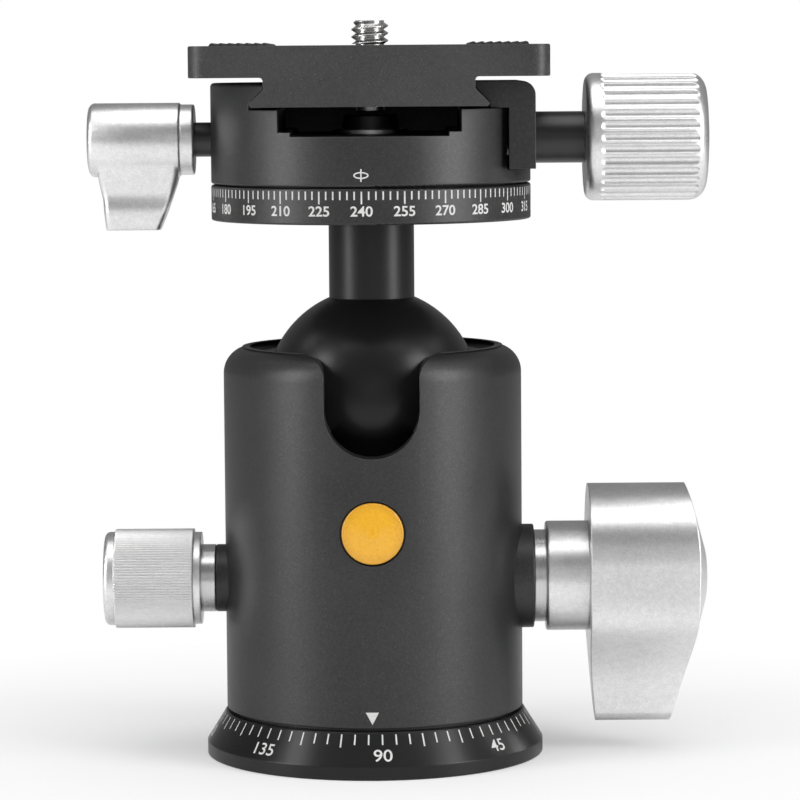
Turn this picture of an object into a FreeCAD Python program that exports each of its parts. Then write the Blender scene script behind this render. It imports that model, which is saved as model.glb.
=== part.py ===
import FreeCAD, Part
import math
import os
import re
import Sketcher

# Tripod ball head, in millimetres. Origin: centre of the underside of the base. +Z up, front at -Y.
# The head stands on a graduated base; the housing pans on it and holds the ball in a socket ring.
# Above the ball come the neck, a graduated disc, a panning clamp and the quick-release plate.

os.makedirs("parts", exist_ok=True)
doc = FreeCAD.newDocument("tripod_ball_head")
sheet = doc.addObject("Spreadsheet::Sheet", "sizes")

SIZES = {
    # Clearances
    "running_gap": 0.05,
    "ball_gap": 0.08,
    "slide_gap": 0.15,
    "swing_gap": 0.3,
    "seat_gap": 0.02,
    # Base
    "base_radius": 29.2,
    "base_rim_height": 2.3,
    "base_top_radius": 25.9,
    "base_height": 7.6,
    "base_recess_radius": 24.0,
    "base_recess_depth": 0.5,
    "bush_radius": 7.0,
    "bush_length": 12.5,
    "tripod_thread_radius": 4.7625,
    "tripod_thread_depth": 11.5,
    "spigot_radius": 12.5,
    "web_top": 19.0,
    "washer_thickness": 0.5,
    "washer_inner_radius": 20.8,
    "washer_outer_radius": 24.6,
    "retainer_radius": 15.5,
    "retainer_thickness": 2.4,
    "retainer_screw_circle": 10.0,
    "retainer_screw_radius": 1.5,
    "retainer_head_radius": 2.7,
    "retainer_screw_length": 8.0,
    # Housing
    "housing_radius": 25.74,
    "housing_rise": 8.65,
    "shoulder_radius": 4.6,
    "ridge_round": 0.6,
    "ridge_width": 1.1,
    "lip_drop": 1.7,
    "lip_radius": 19.3,
    "lip_thickness": 1.6,
    "bore_radius": 20.6,
    "notch_half_width": 8.03,
    "notch_drop": 8.6,
    "notch_corner": 7.9,
    "notch_flare": 3.9,
    # Ball and what holds it
    "ball_over_axis": 31.8,
    "ball_radius": 18.5,
    "socket_ring_drop": 4.7,
    "socket_ring_rise": 0.6,
    "cup_floor": 3.1,
    "cup_drop": 9.6,
    "carrier_thickness": 3.7,
    "foot_radius": 5.0,
    "core_gap": 1.1,
    "core_headroom": 0.7,
    # Locks, both on one height
    "lock_axis": 30.4,
    "wedge_slope": 0.25,
    "main_wedge_radius": 4.9,
    "main_wedge_inner": -4.0,
    "main_wedge_inset": 8.1,
    "main_wedge_height": 1.3,
    "main_spindle_radius": 4.0,
    "main_bush_radius": 9.0,
    "main_bush_stand": 2.01,
    "main_bush_neck": 6.1,
    "main_neck_length": 4.0,
    "main_stem_radius": 8.0,
    "main_stem_length": 2.05,
    "main_hub_radius": 9.5,
    "main_hub_length": 7.4,
    "wing_width": 18.7,
    "wing_top": 16.05,
    "wing_bottom": 25.5,
    "wing_thickness": 17.0,
    "wing_tip_thickness": 7.0,
    "main_cap_radius": 10.35,
    "main_cap_rise": 1.9,
    "main_cap_seat": 1.6,
    "pan_brake_inset": 2.5,
    "pan_brake_radius": 2.0,
    "pan_wedge_radius": 2.9,
    "pan_wedge_length": 6.4,
    "pan_wedge_slope": 0.4,
    "pan_wedge_height": 0.9,
    "pan_spindle_radius": 3.0,
    "pan_bush_radius": 5.85,
    "pan_bush_stand": 1.66,
    "pan_stem_length": 2.5,
    "pan_rim_radius": 8.0,
    "pan_rim_length": 1.3,
    "pan_grip_length": 13.6,
    "pan_grip_radius": 8.6,
    "pan_tooth_depth": 0.28,
    "pan_tooth_count": 114,
    "pan_cap_radius": 8.1,
    "pan_cap_length": 1.85,
    # Neck, stud and graduated disc
    "neck_radius": 7.37,
    "neck_length": 15.0,
    "neck_bore": 3.0,
    "neck_sink": 3.0,
    "ball_cavity_radius": 9.2,
    "ball_cavity_rise": 8.3,
    "stud_radius": 2.95,
    "stud_drop": 5.2,
    "stud_cover": 1.15,
    "nut_radius": 6.0,
    "nut_drop": 3.7,
    "lock_pin_radius": 1.5,
    "lock_pin_length": 15.0,
    "disc_thickness": 6.05,
    "disc_chamfer": 0.35,
    "disc_spigot_radius": 10.0,
    "disc_spigot_height": 5.55,
    # Clamp
    "clamp_gap": 0.25,
    "clamp_radius": 27.5,
    "clamp_body_height": 12.7,
    "channel_depth": 4.4,
    "channel_half_width": 13.2,
    "channel_back": 21.6,
    "wall_rise": 4.5,
    "jaw_shelf_rise": 2.4,
    "jaw_recess": 4.4,
    "centre_screw_radius": 3.0,
    "centre_screw_floor": 1.45,
    "centre_head_radius": 4.8,
    "centre_head_height": 2.6,
    "centre_washer_radius": 6.5,
    "centre_washer_thickness": 0.8,
    "top_axis_rise": 7.5,
    "lever_screw_radius": 2.95,
    "lever_screw_depth": 11.8,
    "brake_shoe_radius": 2.6,
    "lever_stem_length": 2.8,
    "lever_collar_radius": 6.05,
    "lever_collar_length": 2.3,
    "lever_hub_length": 15.9,
    "lever_hub_radius": 6.35,
    "lever_hub_round": 3.4,
    "lever_reach": 15.5,
    "lever_tip_width": 9.0,
    "lever_tip_inset": 8.4,
    "lever_thickness": 8.4,
    "lever_tip_thickness": 3.6,
    # Jaw and clamp knob
    "jaw_stand": 0.35,
    "jaw_step": 0.1,
    "jaw_round": 2.4,
    "jaw_half_length": 17.0,
    "guide_pin_radius": 1.5,
    "guide_pin_spread": 11.0,
    "guide_pin_length": 12.0,
    "guide_pin_drop": 2.1,
    "spring_radius": 2.1,
    "spring_wire": 0.5,
    "spring_turns": 4,
    "spring_pocket": 3.4,
    "jaw_gap": 0.25,
    "clamp_spindle_radius": 2.95,
    "clamp_spindle_depth": 11.6,
    "sleeve_radius": 4.42,
    "sleeve_length": 8.95,
    "clamp_knob_length": 21.2,
    "clamp_knob_radius": 10.95,
    "clamp_knob_round": 3.0,
    "flute_count": 34,
    "flute_radius": 0.85,
    "flute_depth": 0.5,
    "flute_inset": 2.4,
    "flute_end_inset": 1.6,
    # Quick-release plate
    "plate_wing_thickness": 5.3,
    "plate_wing_gap": 0.9,
    "plate_width": 60.2,
    "plate_length": 50.0,
    "plate_corner": 3.0,
    "dovetail_flank": 2.4,
    "dovetail_half_width": 20.0,
    "plate_float": 0.5,
    "dovetail_land": 0.5,
    "dovetail_chamfer": 0.4,
    "pad_inner": 16.6,
    "pad_outer": 26.8,
    "pad_length": 44.0,
    "pad_recess": 1.0,
    "pad_rib_height": 0.5,
    "pad_rib_count": 7,
    "pad_rib_gap": 0.35,
    "camera_screw_radius": 3.175,
    "camera_screw_rise": 4.3,
    "camera_head_radius": 6.0,
    "camera_head_drop": 1.1,
    "camera_head_height": 2.2,
    "camera_nose_radius": 2.5,
    "camera_neck_radius": 2.45,
    "camera_thread_gap": 0.3,
    # Badge
    "badge_radius": 5.2,
    "badge_height": 41.1,
    "badge_depth": 1.2,
    "badge_rise": 0.45,
}

# Places that follow from the sizes above, each written once.
PLACES = {
    "core_bottom": "web_top + running_gap * 2 + retainer_thickness + core_gap",
    "core_top": "carrier_bottom - core_headroom",
    "carrier_bottom": "cup_bottom - carrier_thickness",
    "cup_bottom": "ball_centre - ball_radius - cup_floor",
    "cup_top": "ball_centre - cup_drop",
    "socket_ring_bottom": "ball_centre - socket_ring_drop",
    "notch_bottom": "ball_centre - notch_drop",
    "housing_top": "ball_centre + housing_rise",
    "ball_centre": "lock_axis + ball_over_axis",
    "main_bush_end": "housing_radius + main_bush_stand",
    "main_hub_start": "main_bush_end + main_stem_length",
    "wing_start": "main_hub_start + main_hub_length",
    "wing_end": "wing_start + wing_width",
    "pan_wedge_outer": "bore_radius",
    "pan_brake_x": "bore_radius - pan_brake_inset",
    "pan_wedge_inner": "bore_radius - pan_wedge_length",
    "pan_bush_end": "housing_radius + pan_bush_stand",
    "pan_stem_end": "pan_bush_end + pan_stem_length",
    "pan_grip_start": "pan_stem_end + pan_rim_length",
    "pan_grip_end": "pan_grip_start + pan_grip_length",
    "pan_cap_end": "pan_grip_end + pan_cap_length",
    "neck_foot": "ball_centre + ball_radius - neck_sink",
    "neck_top": "neck_foot + neck_length",
    "ball_cavity_top": "ball_centre + ball_cavity_rise",
    "stud_bottom": "ball_centre - stud_drop",
    "nut_bottom": "ball_centre - nut_drop",
    "stud_top": "disc_top - stud_cover",
    "disc_top": "neck_top + disc_thickness",
    "disc_spigot_top": "disc_top + disc_spigot_height",
    "clamp_bottom": "disc_top + clamp_gap",
    "clamp_seat": "clamp_bottom + clamp_body_height",
    "disc_radius": "clamp_radius",
    "clamp_floor": "clamp_seat - channel_depth",
    "wall_top": "clamp_seat + wall_rise",
    "jaw_shelf": "clamp_bottom + jaw_shelf_rise",
    "jaw_plane": "clamp_radius - jaw_recess",
    "centre_screw_end": "disc_top + centre_screw_floor",
    "top_axis": "clamp_bottom + top_axis_rise",
    "lever_screw_inner": "clamp_radius - lever_screw_depth",
    "lever_collar_start": "clamp_radius + lever_stem_length",
    "lever_hub_start": "lever_collar_start + lever_collar_length",
    "lever_hub_end": "lever_hub_start + lever_hub_length",
    "lever_tip_centre": "lever_hub_start + lever_tip_inset",
    "jaw_outer": "clamp_radius + jaw_stand",
    "jaw_top": "wall_top + jaw_step",
    "guide_pin_height": "top_axis - guide_pin_drop",
    "clamp_spindle_inner": "clamp_radius - clamp_spindle_depth",
    "clamp_knob_start": "jaw_outer + sleeve_length",
    "clamp_knob_end": "clamp_knob_start + clamp_knob_length",
    "flute_start": "clamp_knob_start + flute_inset",
    "flute_end": "clamp_knob_end - flute_end_inset",
    "dovetail_bottom": "clamp_seat + plate_float",
    "plate_wing_bottom": "wall_top + plate_wing_gap",
    "plate_top": "plate_wing_bottom + plate_wing_thickness",
    "camera_head_bottom": "dovetail_bottom - camera_head_drop",
    "throat_half_width": "dovetail_half_width - dovetail_flank",
    "main_wedge_outer": "bore_radius - main_wedge_inset",
}

for row, (alias, amount) in enumerate(SIZES.items(), start=1):
    sheet.set(f"A{row}", alias)
    sheet.set(f"B{row}", str(amount))
    sheet.setAlias(f"B{row}", alias)
doc.recompute()


def spelled_out(text):
    """The expression with each place's name written out in sizes."""
    while any(word in PLACES for word in re.findall(r"[a-z_]+", text)):
        text = re.sub(r"[a-z_]+", lambda m: f"({PLACES[m[0]]})" if m[0] in PLACES else m[0], text)
    return text


def bound(text):
    """The same expression, with each size's name looked up in the sheet."""
    return re.sub(r"[a-z_]+", lambda m: "sizes." + m[0] if m[0] in SIZES else m[0], spelled_out(text))


def number(text):
    """What an expression of size names comes to, worked out by the sheet itself."""
    if text in SIZES:
        return float(sheet.get(text))
    sheet.set("D1", "=" + spelled_out(text))
    sheet.recompute()
    return float(sheet.get("D1"))


def origin_plane(body, role):
    return next(f for f in body.Origin.OriginFeatures if f.Role == role)


def profile(body, name, role, corners):
    """A closed sketch through corners (x, y) or (x, y, rounding), all bound to the sheet."""
    sketch = body.newObject("Sketcher::SketchObject", name)
    sketch.AttachmentSupport = (origin_plane(body, role), [""])
    sketch.MapMode = "FlatFace"
    sketch.Visibility = False
    spots = [FreeCAD.Vector(number(c[0]), number(c[1]), 0) for c in corners]
    count = len(corners)
    ends = []
    for k, corner in enumerate(corners):
        here = spots[k]
        if len(corner) < 3:
            ends.append((here, here, None))
            continue
        back = (spots[k - 1] - here).normalize()
        ahead = (spots[(k + 1) % count] - here).normalize()
        half = math.acos(max(-1, min(1, back * ahead))) / 2
        reach = number(corner[2]) / math.tan(half)
        middle = here + (back + ahead).normalize() * (number(corner[2]) / math.sin(half))
        ends.append((here + back * reach, here + ahead * reach, middle))
    for k in range(count):
        sketch.addGeometry(Part.LineSegment(ends[k][1], ends[(k + 1) % count][0]), False)
    rules = []

    def place(geometry, spot, corner):
        for axis, kind, text in ((-2, "DistanceX", corner[0]), (-1, "DistanceY", corner[1])):
            if abs(number(text)) < 1e-9:
                rules.append((Sketcher.Constraint("PointOnObject", geometry, spot, axis), None))
            else:
                rule = Sketcher.Constraint(kind, -1, 1, geometry, spot, number(text))
                rules.append((rule, bound(text)))

    for k, corner in enumerate(corners):
        before = (k - 1) % count
        first, last, middle = ends[k]
        if middle is None:
            rules.append((Sketcher.Constraint("Coincident", before, 2, k, 1), None))
            place(k, 1, corner)
            continue
        radius = number(corner[2])
        start = math.atan2(first.y - middle.y, first.x - middle.x)
        stop = math.atan2(last.y - middle.y, last.x - middle.x)
        left = (first - spots[k]).cross(last - spots[k]).z < 0
        circle = Part.Circle(middle, FreeCAD.Vector(0, 0, 1), radius)
        arc_ends = (start, stop) if left else (stop, start)
        arc = sketch.addGeometry(Part.ArcOfCircle(circle, *arc_ends), False)
        point = sketch.addGeometry(Part.Point(spots[k]), True)
        rules.append((Sketcher.Constraint("Tangent", before, 2, arc, 1 if left else 2), None))
        rules.append((Sketcher.Constraint("Tangent", arc, 2 if left else 1, k, 1), None))
        rules.append((Sketcher.Constraint("PointOnObject", point, 1, before), None))
        rules.append((Sketcher.Constraint("PointOnObject", point, 1, k), None))
        rules.append((Sketcher.Constraint("Radius", arc, radius), bound(corner[2])))
        place(point, 1, corner)
    numbers = [sketch.addConstraint(rule) for rule, _ in rules]
    for place_in_list, (_, text) in zip(numbers, rules):
        if text:
            sketch.setExpression(f"Constraints[{place_in_list}]", text)
    return sketch


def new_body(name, height=None):
    body = doc.addObject("PartDesign::Body", name)
    body.Label = name
    if height:
        body.setExpression("Placement.Base.z", bound(height))
    return body


def turn(body, name, corners, axis="V_Axis", groove=False):
    """Add a turned solid, or cut a turned groove, about the sketch's vertical or level axis."""
    sketch = profile(body, name + "_profile", "XZ_Plane", corners)
    kind = "PartDesign::Groove" if groove else "PartDesign::Revolution"
    feature = body.newObject(kind, name)
    feature.Profile = sketch
    feature.ReferenceAxis = (sketch, [axis])
    feature.Angle = 360
    return feature


def turned(name, corners, axis="V_Axis", height=None):
    body = new_body(name, height)
    turn(body, name + "_turned", corners, axis)
    return body


def padded(name, role, corners, length, height=None):
    """A body extruded evenly to both sides of one of its origin planes."""
    body = new_body(name, height)
    sketch = profile(body, name + "_profile", role, corners)
    pad = body.newObject("PartDesign::Pad", name + "_pad")
    pad.Profile = sketch
    pad.SideType = "Symmetric"
    pad.setExpression("Length", bound(length))
    return body


def rod(name, radius, start, end, axis="x", at=("0", "0", "0")):
    """A cylinder from start to end along one axis, with its foot at the given place."""
    cylinder = doc.addObject("Part::Cylinder", name)
    cylinder.setExpression("Radius", bound(radius))
    cylinder.setExpression("Height", bound(f"({end}) - ({start})"))
    turns = {
        "x": FreeCAD.Rotation(FreeCAD.Vector(0, 1, 0), 90),
        "y": FreeCAD.Rotation(FreeCAD.Vector(1, 0, 0), -90),
        "z": FreeCAD.Rotation(),
    }
    cylinder.Placement = FreeCAD.Placement(FreeCAD.Vector(), turns[axis])
    for letter, text in zip("xyz", at):
        whole = f"({text}) + ({start})" if letter == axis else text
        cylinder.setExpression(f"Placement.Base.{letter}", bound(whole))
    return cylinder


def block(name, x, y, z):
    """A box between two expressions on each axis."""
    box = doc.addObject("Part::Box", name)
    for side, letter, (low, high) in zip(("Length", "Width", "Height"), "xyz", (x, y, z)):
        box.setExpression(side, bound(f"({high}) - ({low})"))
        box.setExpression(f"Placement.Base.{letter}", bound(low))
    return box


def united(name, pieces):
    fuse = doc.addObject("Part::MultiFuse", name)
    fuse.Shapes = pieces
    return fuse


def cut(name, base, tools):
    """The base less the tools, under the base's own name; the base becomes its blank."""
    base.Label = name + "_blank"
    tool = tools[0] if len(tools) == 1 else united(name + "_cutters", tools)
    result = doc.addObject("Part::Cut", name)
    result.Base = base
    result.Tool = tool
    result.Label = name
    return result


def common(name, base, tool):
    base.Label = name + "_blank"
    result = doc.addObject("Part::Common", name)
    result.Base = base
    result.Tool = tool
    result.Label = name
    return result


def shaped(name, shape):
    """A piece whose shape is worked out here from the sheet's sizes."""
    feature = doc.addObject("Part::Feature", name)
    feature.Shape = shape
    feature.Label = name
    return feature


NODES = []


def keep(*pieces):
    NODES.extend(pieces)


# Base: a turned ring with a conical flank, whose spigot carries the panning housing.
spigot_top = "web_top + running_gap * 2"
base_blank = turned("base_ring", [
    ("0", "base_recess_depth"),
    ("base_recess_radius", "base_recess_depth"),
    ("base_recess_radius", "0"),
    ("base_radius", "0", "running_gap * 4"),
    ("base_radius", "base_rim_height"),
    ("base_top_radius", "base_height", "running_gap * 4"),
    ("spigot_radius", "base_height"),
    ("spigot_radius", spigot_top),
    ("0", spigot_top),
])


def retainer_spots():
    """The three screws of the retaining plate, evenly round its screw circle."""
    for k in range(3):
        turn_to = math.radians(90 + 120 * k)
        across, along = math.cos(turn_to), math.sin(turn_to)
        yield k, f"retainer_screw_circle * {across:.6f}", f"retainer_screw_circle * {along:.6f}"


screw_low = f"{spigot_top} + retainer_thickness - retainer_screw_length"
base_holes = [rod("bush_seat", "bush_radius + seat_gap", "-1", "bush_length + seat_gap", "z")]
for k, x, y in retainer_spots():
    base_holes.append(rod(f"base_screw_hole_{k}", "retainer_screw_radius + seat_gap",
                          f"{screw_low} - seat_gap", "web_top + 5", "z", (x, y, "0")))
base_ring = cut("base_ring", base_blank, base_holes)

# The steel bush takes the tripod's 3/8 in screw. Its hole is at the thread's major radius.
thread_bush = turned("thread_bush", [
    ("0", "tripod_thread_depth"),
    ("tripod_thread_radius", "tripod_thread_depth"),
    ("tripod_thread_radius", "base_recess_depth + 0.3"),
    ("tripod_thread_radius + 0.3", "base_recess_depth"),
    ("bush_radius", "base_recess_depth"),
    ("bush_radius", "bush_length"),
    ("0", "bush_length"),
])

friction_washer = turned("base_friction_washer", [
    ("washer_inner_radius", "base_height"),
    ("washer_outer_radius", "base_height"),
    ("washer_outer_radius", "base_height + washer_thickness"),
    ("washer_inner_radius", "base_height + washer_thickness"),
])

# The retaining plate sits on the spigot and overlaps the housing's web.
plate_top_z = f"{spigot_top} + retainer_thickness"
retainer_blank = turned("retaining_plate", [
    ("0", spigot_top),
    ("retainer_radius", spigot_top),
    ("retainer_radius", plate_top_z),
    ("0", plate_top_z),
])
retainer_cutters = []
screws = []
for k, x, y in retainer_spots():
    screw = turned(f"retaining_screw_{k}", [
        ("0", screw_low),
        ("retainer_screw_radius", screw_low),
        ("retainer_screw_radius", f"{plate_top_z} - (retainer_head_radius - retainer_screw_radius)"),
        ("retainer_head_radius", plate_top_z),
        ("0", plate_top_z),
    ])
    screw.setExpression("Placement.Base.x", bound(x))
    screw.setExpression("Placement.Base.y", bound(y))
    screws.append(screw)
    sink = turned(f"screw_sink_{k}", [
        ("0", f"{spigot_top} - 1"),
        ("retainer_screw_radius + seat_gap", f"{spigot_top} - 1"),
        ("retainer_screw_radius + seat_gap",
         f"{plate_top_z} - (retainer_head_radius - retainer_screw_radius)"),
        ("retainer_head_radius + seat_gap", plate_top_z),
        ("retainer_head_radius + seat_gap", f"{plate_top_z} + 1"),
        ("0", f"{plate_top_z} + 1"),
    ])
    sink.setExpression("Placement.Base.x", bound(x))
    sink.setExpression("Placement.Base.y", bound(y))
    retainer_cutters.append(sink)
retaining_plate = cut("retaining_plate", retainer_blank, retainer_cutters)
retaining_screws = united("retaining_screws", screws)
keep(base_ring, thread_bush, friction_washer, retaining_plate, retaining_screws)

# Housing: a turned sleeve with a rolled top edge, a web that rides on the base and a front notch.
housing_bottom = "base_height + washer_thickness"
lip_z = "housing_top - lip_drop"
housing_body = turned("housing", [
    ("spigot_radius + running_gap", housing_bottom),
    ("housing_radius", housing_bottom, "swing_gap"),
    ("housing_radius", "housing_top", "shoulder_radius"),
    ("housing_radius - shoulder_radius + ridge_width", "housing_top", "ridge_round"),
    ("lip_radius + ridge_width", lip_z, "ridge_round"),
    ("lip_radius", lip_z),
    ("lip_radius", f"{lip_z} - lip_thickness"),
    ("bore_radius", f"{lip_z} - lip_thickness"),
    ("bore_radius", "web_top"),
    ("spigot_radius + running_gap", "web_top"),
])


def notch(name, side_gap):
    """The front notch that lets the neck drop level, as a cutter from the axis to the front."""
    half = f"notch_half_width + {side_gap}"
    body = new_body(name)
    sketch = profile(body, name + "_profile", "XZ_Plane", [
        (f"-({half})", f"notch_bottom - {side_gap}", "notch_corner"),
        (half, f"notch_bottom - {side_gap}", "notch_corner"),
        (half, "housing_top + seat_gap", "notch_flare"),
        (f"{half} + notch_flare * 3", "housing_top + seat_gap"),
        (f"{half} + notch_flare * 3", "housing_top + 5"),
        (f"-({half} + notch_flare * 3)", "housing_top + 5"),
        (f"-({half} + notch_flare * 3)", "housing_top + seat_gap"),
        (f"-({half})", "housing_top + seat_gap", "notch_flare"),
    ])
    pad = body.newObject("PartDesign::Pad", name + "_pad")
    pad.Profile = sketch
    pad.setExpression("Length", bound("housing_radius + 5"))
    return body


lock_at = ("0", "0", "lock_axis")
housing_cutters = [
    notch("housing_notch", "0"),
    rod("main_bush_hole", "main_bush_radius + seat_gap", "bore_radius - 4", "housing_radius + 9",
        "x", lock_at),
    rod("pan_bush_hole", "pan_bush_radius + seat_gap", "-(housing_radius + 9)",
        "-(bore_radius - 4)", "x", lock_at),
    rod("brake_hole", "pan_brake_radius + running_gap", "base_height - 1", "web_top + 1", "z",
        ("-pan_brake_x", "0", "0")),
    rod("badge_seat", "badge_radius + swing_gap", "-(housing_radius + 3)",
        "-(housing_radius - badge_depth)", "y",
        ("0", "0", "badge_height")),
]
housing = cut("housing", housing_body, housing_cutters)

# The socket ring, an acetal ring under the lip, closes over the ball's upper half.
ring_top = f"{lip_z} + socket_ring_rise"
ring_blank = turned("socket_ring", [
    ("ball_radius - 3", "socket_ring_bottom"),
    ("bore_radius - seat_gap", "socket_ring_bottom"),
    ("bore_radius - seat_gap", f"{lip_z} - lip_thickness - seat_gap"),
    ("lip_radius - seat_gap", f"{lip_z} - lip_thickness - seat_gap"),
    ("lip_radius - seat_gap", ring_top, "seat_gap * 10"),
    ("ball_radius - 3", ring_top),
])


def ball_of(name, radius):
    sphere = doc.addObject("Part::Sphere", name)
    sphere.setExpression("Radius", bound(radius))
    sphere.setExpression("Placement.Base.z", bound("ball_centre"))
    return sphere


socket_ring = cut("socket_ring", ring_blank,
                  [ball_of("ring_hollow", "ball_radius + ball_gap"), notch("ring_notch", "0")])

# The pressure cup lifts against the ball from below; its carrier stands on the main wedge.
cup_blank = turned("pressure_cup", [
    ("0", "cup_bottom"),
    ("bore_radius - running_gap", "cup_bottom"),
    ("bore_radius - running_gap", "cup_top"),
    ("0", "cup_top"),
])
pressure_cup = cut("pressure_cup", cup_blank, [ball_of("cup_hollow", "ball_radius + ball_gap")])


def slanted(name, low, high, radius, x_from, x_to):
    """A prism along Y between two heights that rise with x by the slope, for wedge faces."""
    body = new_body(name)
    sketch = profile(body, name + "_profile", "XZ_Plane", [
        (x_from, low[0]),
        (x_to, low[1]),
        (x_to, high[1]),
        (x_from, high[0]),
    ])
    pad = body.newObject("PartDesign::Pad", name + "_pad")
    pad.Profile = sketch
    pad.SideType = "Symmetric"
    pad.setExpression("Length", bound(f"({radius}) * 4"))
    return body


def face_height(x, gap):
    """Height of the main wedge's slanted face at x, plus a gap."""
    return f"lock_axis + main_wedge_height + wedge_slope * ({x}) + {gap}"


carrier_blank = united("cup_carrier_blank", [
    rod("carrier_disc", "bore_radius - running_gap", "carrier_bottom", "cup_bottom", "z"),
    rod("carrier_foot", "foot_radius", "lock_axis - 5", "carrier_bottom + 1", "z"),
])
foot_trim = slanted(
    "foot_trim",
    ("lock_axis - 9", "lock_axis - 9"),
    (face_height("-(foot_radius + 2)", "running_gap"), face_height("foot_radius + 2", "running_gap")),
    "foot_radius", "-(foot_radius + 2)", "foot_radius + 2")
cup_carrier = cut("cup_carrier", carrier_blank, [foot_trim])

main_wedge_blank = rod("main_wedge_blank", "main_wedge_radius", "main_wedge_inner",
                       "main_wedge_outer", "x", lock_at)
wedge_trim = slanted(
    "wedge_trim",
    (face_height("main_wedge_inner - 1", "0"), face_height("main_wedge_outer + 1", "0")),
    ("lock_axis + 9", "lock_axis + 9"),
    "main_wedge_radius", "main_wedge_inner - 1", "main_wedge_outer + 1")
main_wedge = cut("main_wedge", main_wedge_blank, [wedge_trim])

# The core block drops into the housing and guides both wedges, the foot and the brake pin.
core_blank = rod("core_block_blank", "bore_radius - seat_gap", "core_bottom", "core_top", "z")
core_block = cut("core_block", core_blank, [
    rod("core_main_bore", "main_wedge_radius + running_gap", "main_wedge_inner - 2",
        "bore_radius + 1", "x", lock_at),
    rod("core_bush_seat", "main_bush_neck + seat_gap", "bore_radius - main_neck_length - seat_gap",
        "bore_radius + 1", "x", lock_at),
    rod("core_foot_bore", "foot_radius + running_gap", "lock_axis", "core_top + 1", "z"),
    rod("core_pan_bore", "pan_wedge_radius + running_gap", "-(bore_radius + 1)",
        "-(pan_wedge_inner - 1.5)", "x",
        lock_at),
    rod("core_brake_bore", "pan_brake_radius + running_gap", "core_bottom - 1", "lock_axis", "z",
        ("-pan_brake_x", "0", "0")),
])

main_bush = turned("main_knob_bushing", [
    ("bore_radius - main_neck_length", "main_spindle_radius + running_gap"),
    ("bore_radius - main_neck_length", "main_bush_neck"),
    ("bore_radius", "main_bush_neck"),
    ("bore_radius", "main_bush_radius"),
    ("main_bush_end", "main_bush_radius", "swing_gap"),
    ("main_bush_end", "main_spindle_radius + running_gap"),
], "H_Axis", "lock_axis")

pan_bush = turned("pan_lock_bushing", [
    ("-pan_bush_end", "pan_spindle_radius + running_gap"),
    ("-pan_bush_end", "pan_bush_radius", "swing_gap"),
    ("-bore_radius", "pan_bush_radius"),
    ("-bore_radius", "pan_spindle_radius + running_gap"),
], "H_Axis", "lock_axis")

badge_seat_y = "housing_radius - badge_depth"
badge = new_body("badge", "badge_height")
badge_dome = turn(badge, "badge_dome", [
    ("0", f"{badge_seat_y}"),
    ("badge_radius", f"{badge_seat_y}"),
    ("badge_radius", "housing_radius", "swing_gap"),
    ("0", "housing_radius + badge_rise"),
])
badge.Placement = FreeCAD.Placement(FreeCAD.Vector(), FreeCAD.Rotation(FreeCAD.Vector(1, 0, 0), 90))
badge.setExpression("Placement.Base.z", bound("badge_height"))

# Pan lock: its wedge drives the brake pin down on the base.
def pan_face(x, gap):
    return f"lock_axis - pan_wedge_height + pan_wedge_slope * (({x}) + pan_brake_x) + {gap}"


pan_wedge = cut("pan_lock_wedge",
                rod("pan_wedge_blank", "pan_wedge_radius", "-pan_wedge_outer", "-pan_wedge_inner",
                    "x", lock_at),
                [slanted("pan_wedge_trim",
                         ("lock_axis - 9", "lock_axis - 9"),
                         (pan_face("-pan_wedge_outer - 1", "0"), pan_face("-pan_wedge_inner + 1", "0")),
                         "pan_wedge_radius", 
                         "-pan_wedge_outer - 1", "-pan_wedge_inner + 1")])
brake_pin = cut("pan_brake_pin",
                rod("brake_pin_blank", "pan_brake_radius", "base_height + seat_gap", "lock_axis + 3", "z",
                    ("-pan_brake_x", "0", "0")),
                [slanted("brake_pin_trim",
                         (pan_face("-pan_brake_x - 4", "-running_gap"),
                          pan_face("-pan_brake_x + 4", "-running_gap")),
                         ("lock_axis + 9", "lock_axis + 9"),
                         "pan_brake_radius", "-pan_brake_x - 4", "-pan_brake_x + 4")])
keep(housing, socket_ring, pressure_cup, cup_carrier, main_wedge, core_block, main_bush, pan_bush, badge,
     pan_wedge, brake_pin)

# Main knob: a steel spindle carries a hub, the winged grip and a domed cap.
main_spindle = turned("main_spindle", [
    ("main_wedge_outer + seat_gap", "0"),
    ("main_wedge_outer + seat_gap", "main_spindle_radius", "swing_gap"),
    ("main_bush_end + running_gap", "main_spindle_radius"),
    ("main_bush_end + running_gap", "main_stem_radius"),
    ("main_hub_start", "main_stem_radius"),
    ("main_hub_start", "main_spindle_radius"),
    ("wing_end - 2", "main_spindle_radius"),
    ("wing_end - 2", "0"),
], "H_Axis", "lock_axis")
main_hub = turned("main_knob_hub", [
    ("main_hub_start", "main_spindle_radius + seat_gap"),
    ("main_hub_start", "main_hub_radius", "swing_gap * 1.5"),
    ("wing_start", "main_hub_radius"),
    ("wing_start", "main_spindle_radius + seat_gap"),
], "H_Axis", "lock_axis")


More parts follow.
